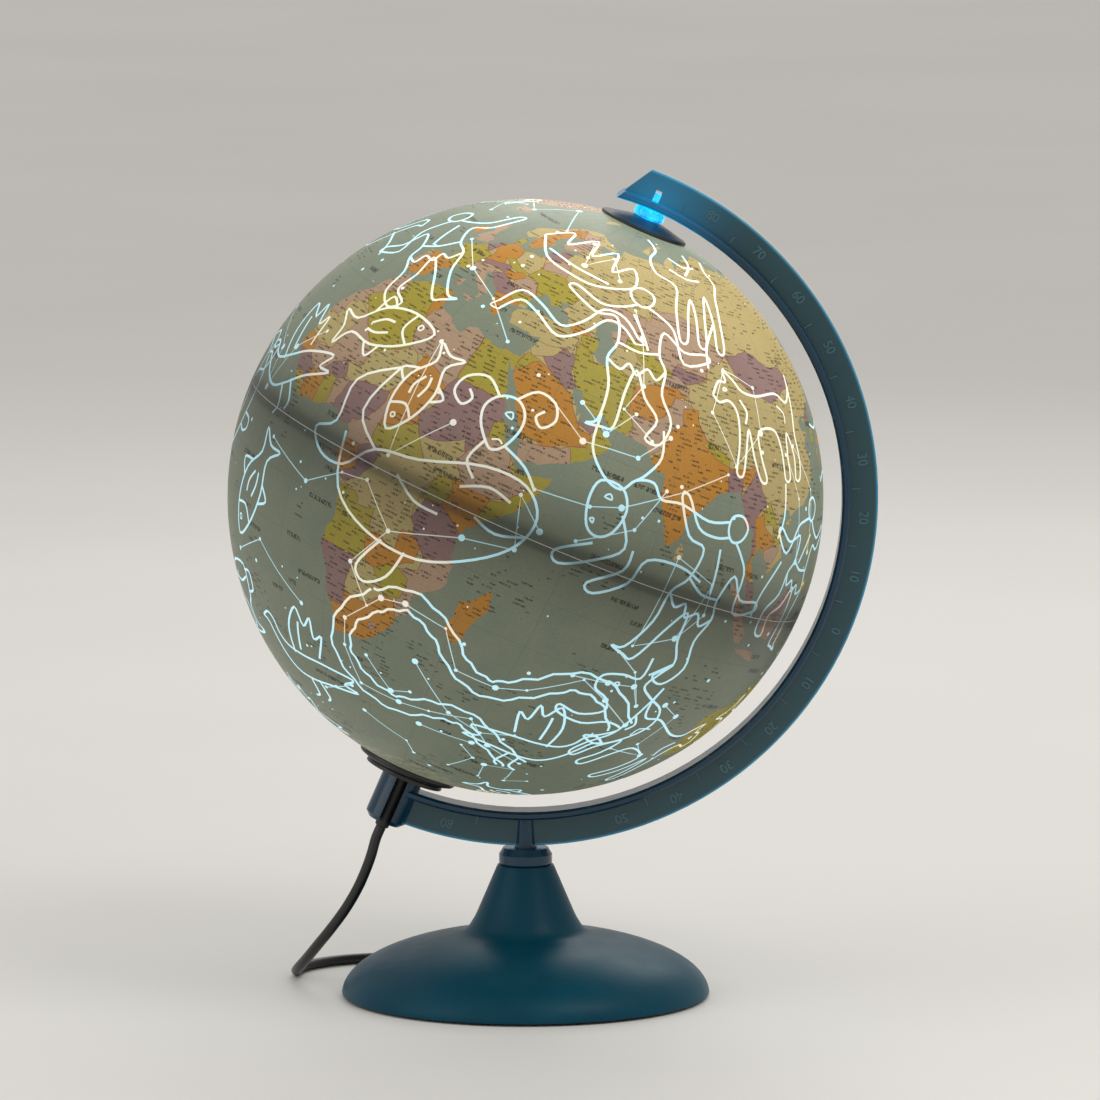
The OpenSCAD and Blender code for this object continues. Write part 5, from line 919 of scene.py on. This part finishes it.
def printed_half(name, sign, hole):
    """One half of the ball with its print as colour attributes. sign 1 is north."""
    edge = 1 - math.degrees(0.2 * MMR) / 90
    hole_rho = math.degrees(math.asin(hole / R)) / 90

    def flat(p):
        colat = math.acos(max(-1, min(1, p.z * sign))) * 2 / math.pi
        a = math.atan2(p.y, p.x)
        return (colat * math.cos(a), colat * math.sin(a))

    pts, faces, info, boxes = [], [], [], []

    def add(poly, what):
        ar = sum(poly[i - 1][0] * poly[i][1] - poly[i][0] * poly[i - 1][1] for i in range(len(poly)))
        if abs(ar) < (3e-9 if len(poly) == 3 else 1e-7):
            return
        if ar < 0:
            poly = poly[::-1]
        b = len(pts)
        pts.extend(Vector(p) for p in poly)
        faces.append(list(range(b, b + len(poly))))
        info.append(what)
        xs, ys = [p[0] for p in poly], [p[1] for p in poly]
        boxes.append((min(xs), min(ys), max(xs), max(ys)))

    add([(edge * math.cos(a), edge * math.sin(a)) for a in np.linspace(0, 2 * math.pi, 240, endpoint=False)], ("disc", 0))
    add([(hole_rho * math.cos(a), hole_rho * math.sin(a)) for a in np.linspace(0, 2 * math.pi, 72, endpoint=False)], ("hole", 0))
    for kind, idx, poly in polys:
        if max(p.z * sign for p in poly) < 0.0 - 0.004 and kind not in ("land", "country"):
            continue
        if max(p.z * sign for p in poly) < -0.02 or min(p.z * sign for p in poly) < -0.985:
            continue
        add([flat(p) for p in poly], (kind, idx))
    k = 1
    while k * 5.0 < 90 / math.degrees(MMR):             # rings of points about 5 mm apart
        rho = k * 5.0 * math.degrees(MMR) / 90
        if rho > edge - 0.01:
            break
        if rho > hole_rho:
            m = max(12, int(2 * math.pi * math.sin(rho * math.pi / 2) * R / 5.0))
            pts.extend(Vector((rho * math.cos(2 * math.pi * j / m + k), rho * math.sin(2 * math.pi * j / m + k))) for j in range(m))
        k += 1
    vs, _, fs, _, _, of_ = delaunay_2d_cdt(pts, [], faces, 0, 1e-7, True)
    keep, tone, marks = [], [], []
    for f, ids in zip(fs, of_):
        kinds, top, edges = set(), -1, []
        cx = (vs[f[0]].x + vs[f[1]].x + vs[f[2]].x) / 3
        cy = (vs[f[0]].y + vs[f[1]].y + vs[f[2]].y) / 3
        for i in ids:
            kd, ix = info[i]
            bx = boxes[i]
            if not (bx[0] <= cx <= bx[2] and bx[1] <= cy <= bx[3]):
                continue
            kinds.add(kd)
            if kd == "country":
                top = max(top, ix)
            elif kd == "border":
                edges.append(ix)
        if "disc" not in kinds or "hole" in kinds:
            continue
        land = "land" in kinds and "sea" not in kinds
        c = SKY["SEA"] if not land else SKY[COUNTRIES[top][0]] if top >= 0 else SKY["T"]
        if land and sign < 0 and math.hypot(cx, cy) < 30 / 90:
            c = SKY["W"]
        line = 1.0 if "figure" in kinds or "star" in kinds else 0.8 if "thin" in kinds else 0.0
        keep.append(f)
        tone.append((*c, 1.0))
        marks.append((line, 1.0 if land and edges and max(edges) >= top else 0.0, 1.0 if land else 0.0, 1.0))
    co = []
    for p in vs:
        rho, a = p.length, math.atan2(p.y, p.x)
        th = rho * math.pi / 2
        co.append((math.sin(th) * math.cos(a), math.sin(th) * math.sin(a), math.cos(th) * sign))
    used = sorted({i for f in keep for i in f})
    new = {u: i for i, u in enumerate(used)}
    co = np.array([co[u] for u in used])
    uv = np.array([(0.5 + 0.5 * vs[u].x, 0.5 + 0.5 * vs[u].y) for u in used])
    tris = np.array([[new[i] for i in f] for f in keep])
    p0, p1, p2 = co[tris[:, 0]], co[tris[:, 1]], co[tris[:, 2]]
    n = np.cross(p1 - p0, p2 - p0)
    wrong = (n * (p0 + p1 + p2)).sum(1) < 0
    tris[wrong] = tris[wrong][:, ::-1]
    n_out, m = len(tris), len(co)
    half_edges = {}
    for t in tris:
        for a, b in ((t[0], t[1]), (t[1], t[2]), (t[2], t[0])):
            half_edges[(int(a), int(b))] = True
    rim = [(a, b) for a, b in half_edges if (b, a) not in half_edges]
    wall = []
    for a, b in rim:
        wall += [(b, a, a + m), (b, a + m, b + m)]
    tris_all = np.vstack([tris, tris[:, ::-1] + m, np.array(wall)])
    turn = np.array(AX.to_3x3())
    co = co @ turn.T                                     # the mesh lies in the row frame
    verts = np.vstack([co * R, co * (R - 2.5)]) * MM + np.array(CENTRE)
    me = bpy.data.meshes.new(name)
    me.from_pydata(verts.tolist(), [], tris_all.tolist())
    me.polygons.foreach_set("use_smooth", np.ones(len(tris_all), bool))
    plain = np.array([(*SKY["SEA"], 1.0)])
    tone = np.array(tone)
    marks = np.array(marks)
    extra = len(tris_all) - n_out
    tone = np.vstack([tone, np.repeat(plain, extra, 0)])
    marks = np.vstack([marks, np.zeros((extra, 4))])
    for nm, data in (("tone", tone), ("marks", marks)):
        at = me.color_attributes.new(nm, "FLOAT_COLOR", "CORNER")
        at.data.foreach_set("color", np.repeat(data, 3, 0).astype(np.float32).ravel())
    lay = me.uv_layers.new(name="map")
    uv2 = np.vstack([uv, uv])
    lay.data.foreach_set("uv", uv2[tris_all.ravel()].astype(np.float32).ravel())
    me.update()
    normals = np.vstack([np.repeat(np.zeros((1, 3)), 0, 0), co[tris.ravel()], -co[(tris[:, ::-1]).ravel()]])
    wall_n = []
    for t in wall:
        a, b, c = (np.array(verts[i]) for i in t)
        w = np.cross(b - a, c - a)
        w = w / (np.linalg.norm(w) or 1)
        wall_n += [w, w, w]
    me.normals_split_custom_set(np.vstack([normals, np.array(wall_n)]).tolist())
    o = link(bpy.data.objects.new(name, me))
    print(name, "faces", len(tris_all))
    return o


def map_material(name, north):
    m = Nodes(name)
    tone = m.n("ShaderNodeAttribute", attribute_name="tone").outputs["Color"]
    mk = m.n("ShaderNodeAttribute", attribute_name="marks")
    s = m.n("ShaderNodeSeparateColor")
    m.l(mk.outputs["Color"], s.inputs[0])
    line, border, land = s.outputs[0], s.outputs[1], s.outputs[2]
    xyz = m.n("ShaderNodeSeparateXYZ")
    mp = m.n("ShaderNodeMapping", vector_type="TEXTURE")  # into the ball's own axis frame
    mp.inputs["Location"].default_value = tuple(CENTRE)
    mp.inputs["Rotation"].default_value = (0, TILT, 0)
    m.l(m.coord(), mp.inputs["Vector"])
    m.l(mp.outputs[0], xyz.inputs[0])
    x, y, z = xyz.outputs
    rad = m.math("SQRT", m.math("ADD", m.math("ADD", m.math("MULTIPLY", x, x), m.math("MULTIPLY", y, y)), m.math("MULTIPLY", z, z)))
    lat = m.math("MULTIPLY", m.math("ARCSINE", m.math("DIVIDE", z, rad)), 57.29578)
    lon = m.math("MULTIPLY", m.math("ARCTAN2", x, m.math("MULTIPLY", y, -1.0)), 57.29578)

    def rows(pitch, word, tall, keep, seed):
        """Rows of tiny dark dashes along the parallels, grouped into words."""
        rf = m.math("DIVIDE", lat, pitch)
        row = m.math("FLOOR", rf)
        fr = m.math("FRACT", rf)
        inrow = m.math("MULTIPLY", m.math("GREATER_THAN", fr, 0.5 - tall / 2), m.math("LESS_THAN", fr, 0.5 + tall / 2))
        wn = m.n("ShaderNodeTexWhiteNoise", noise_dimensions="1D")
        m.l(m.math("ADD", row, seed), wn.inputs["W"])
        c = m.math("COSINE", m.math("MULTIPLY", row, pitch / 57.29578))
        u = m.math("ADD", m.math("DIVIDE", m.math("MULTIPLY", lon, c), word), m.math("MULTIPLY", wn.outputs["Value"], 31.0))
        cell, fu = m.math("FLOOR", u), m.math("FRACT", u)
        w2 = m.n("ShaderNodeTexWhiteNoise", noise_dimensions="2D")
        cv = m.n("ShaderNodeCombineXYZ")
        m.l(cell, cv.inputs[0])
        m.l(row, cv.inputs[1])
        m.l(cv.outputs[0], w2.inputs["Vector"])
        cs = m.n("ShaderNodeSeparateColor")
        m.l(w2.outputs["Color"], cs.inputs[0])
        inword = m.math("MULTIPLY", m.math("GREATER_THAN", fu, 0.08), m.math("LESS_THAN", fu, m.math("MULTIPLY_ADD", cs.outputs[0], 0.62, 0.28)))
        there = m.math("LESS_THAN", cs.outputs[1], keep)
        gl = m.n("ShaderNodeCombineXYZ")
        m.l(m.math("MULTIPLY", u, word * 2.6), gl.inputs[0])
        m.l(m.math("MULTIPLY", fr, 1.9), gl.inputs[1])
        m.l(row, gl.inputs[2])
        letters = m.math("GREATER_THAN", m.noise(1.9, 1.0, 0.6, vec=gl.outputs[0]), 0.47)
        return m.math("MULTIPLY", m.math("MULTIPLY", inrow, inword), m.math("MULTIPLY", there, letters))

    dens = m.math("MULTIPLY_ADD", m.math("GREATER_THAN", m.noise(26.0, 2.0, 0.5), 0.52), 0.34, 0.38)
    small = rows(0.86, 3.4, 0.44, m.math("ADD", m.math("MULTIPLY", land, m.math("ADD", dens, 0.1)), m.math("MULTIPLY", m.math("GREATER_THAN", m.noise(34.0, 1.0), 0.60), 0.55)), 3.0)
    big = m.math("MULTIPLY", rows(3.1, 9.0, 0.30, 0.10, 11.0), 1.0)
    ink = m.math("MAXIMUM", small, big)
    grid_a = m.math("LESS_THAN", m.math("ABSOLUTE", m.math("SUBTRACT", m.math("FRACT", m.math("ADD", m.math("DIVIDE", lat, 10.0), 0.5)), 0.5)), 0.0065)
    lc = m.math("COSINE", m.math("DIVIDE", lat, 57.29578))
    grid_o = m.math("LESS_THAN", m.math("MULTIPLY", m.math("ABSOLUTE", m.math("SUBTRACT", m.math("FRACT", m.math("ADD", m.math("DIVIDE", m.math("ADD", lon, 51.0), 15.0), 0.5)), 0.5)), lc), 0.0043)
    grid = m.math("MAXIMUM", grid_a, grid_o)
    speck = m.noise(1500.0, 2.0, 0.7)
    soft = m.noise(48.0, 4.0, 0.6)
    c = m.mix(m.math("MULTIPLY", soft, 0.22), tone, srgb(208, 196, 150))
    c = m.mix(m.math("MULTIPLY", m.math("SUBTRACT", speck, 0.25, clamp=True), 0.55), c, srgb(70, 70, 58))
    c = m.mix(m.math("MULTIPLY", grid, 0.30), c, srgb(70, 92, 96))
    c = m.mix(m.math("MULTIPLY", border, 0.62), c, srgb(126, 46, 52))
    c = m.mix(m.math("MULTIPLY", ink, 0.80), c, srgb(40, 34, 26))
    lit = m.mix(0.55, tone, srgb(250, 246, 226))
    pale = m.mix(0.5, m.mix(land, srgb(176, 226, 238), srgb(226, 240, 232)), m.mix(land, srgb(196, 236, 246), lit))
    printed = m.mix(m.math("MULTIPLY", line, 0.94), c, pale)
    a = m.math("ABSOLUTE", lat)
    # painted glow: emission standing in for the lamp inside lighting the shell, brighter towards the north pole; a
    # painted shadow of the inner joint ring darkens a band at the equator
    if north:
        glow = m.ramp(m.math("DIVIDE", a, 90.0), [(0.0, 0.13), (0.015, 0.15), (0.034, 0.36), (0.085, 0.60), (0.20, 0.90), (0.40, 1.14), (0.66, 1.60), (0.90, 1.85)])
    else:
        glow = m.ramp(m.math("DIVIDE", a, 90.0), [(0.0, 0.10), (0.0125, 0.12), (0.019, 0.26), (0.055, 0.36), (0.10, 0.48), (0.15, 0.58), (0.30, 0.68), (0.6, 0.73), (0.9, 0.80)])
    # the printed lines get extra painted glow
    gain = m.math("MULTIPLY", glow, m.math("MULTIPLY_ADD", line, 0.75 if north else 1.35, 1.0))
    # painted shade: the base colour is the print dimmed, darkest in a band at the equator as the inner ring's painted
    # shadow
    dim_and_ring_shadow = m.ramp(m.math("DIVIDE", a, 90.0), [(0.012, 0.13), (0.03, 0.19), (0.15, 0.28 if north else 0.22)])
    dark = m.mix(1.0, printed, dim_and_ring_shadow, "MULTIPLY")
    m.set(Base_Color=dark, Emission_Color=printed, Emission_Strength=m.math("MULTIPLY", gain, 0.62))
    m.set(Roughness=m.math("MULTIPLY_ADD", m.noise(300.0, 3.0), 0.14, 0.38, clamp=True), Specular_IOR_Level=0.25, Normal=m.bump(m.noise(900.0, 2.0), 0.05, 0.00004))
    return m.mat


north = printed_half("north_half_printed", 1, 9.0)
done(north, BALL, map_material("map_print_north", True), "north_hemisphere")
south_half = printed_half("south_half_printed", -1, 17.0)
done(south_half, BALL, map_material("map_print_south", False), "south_hemisphere")
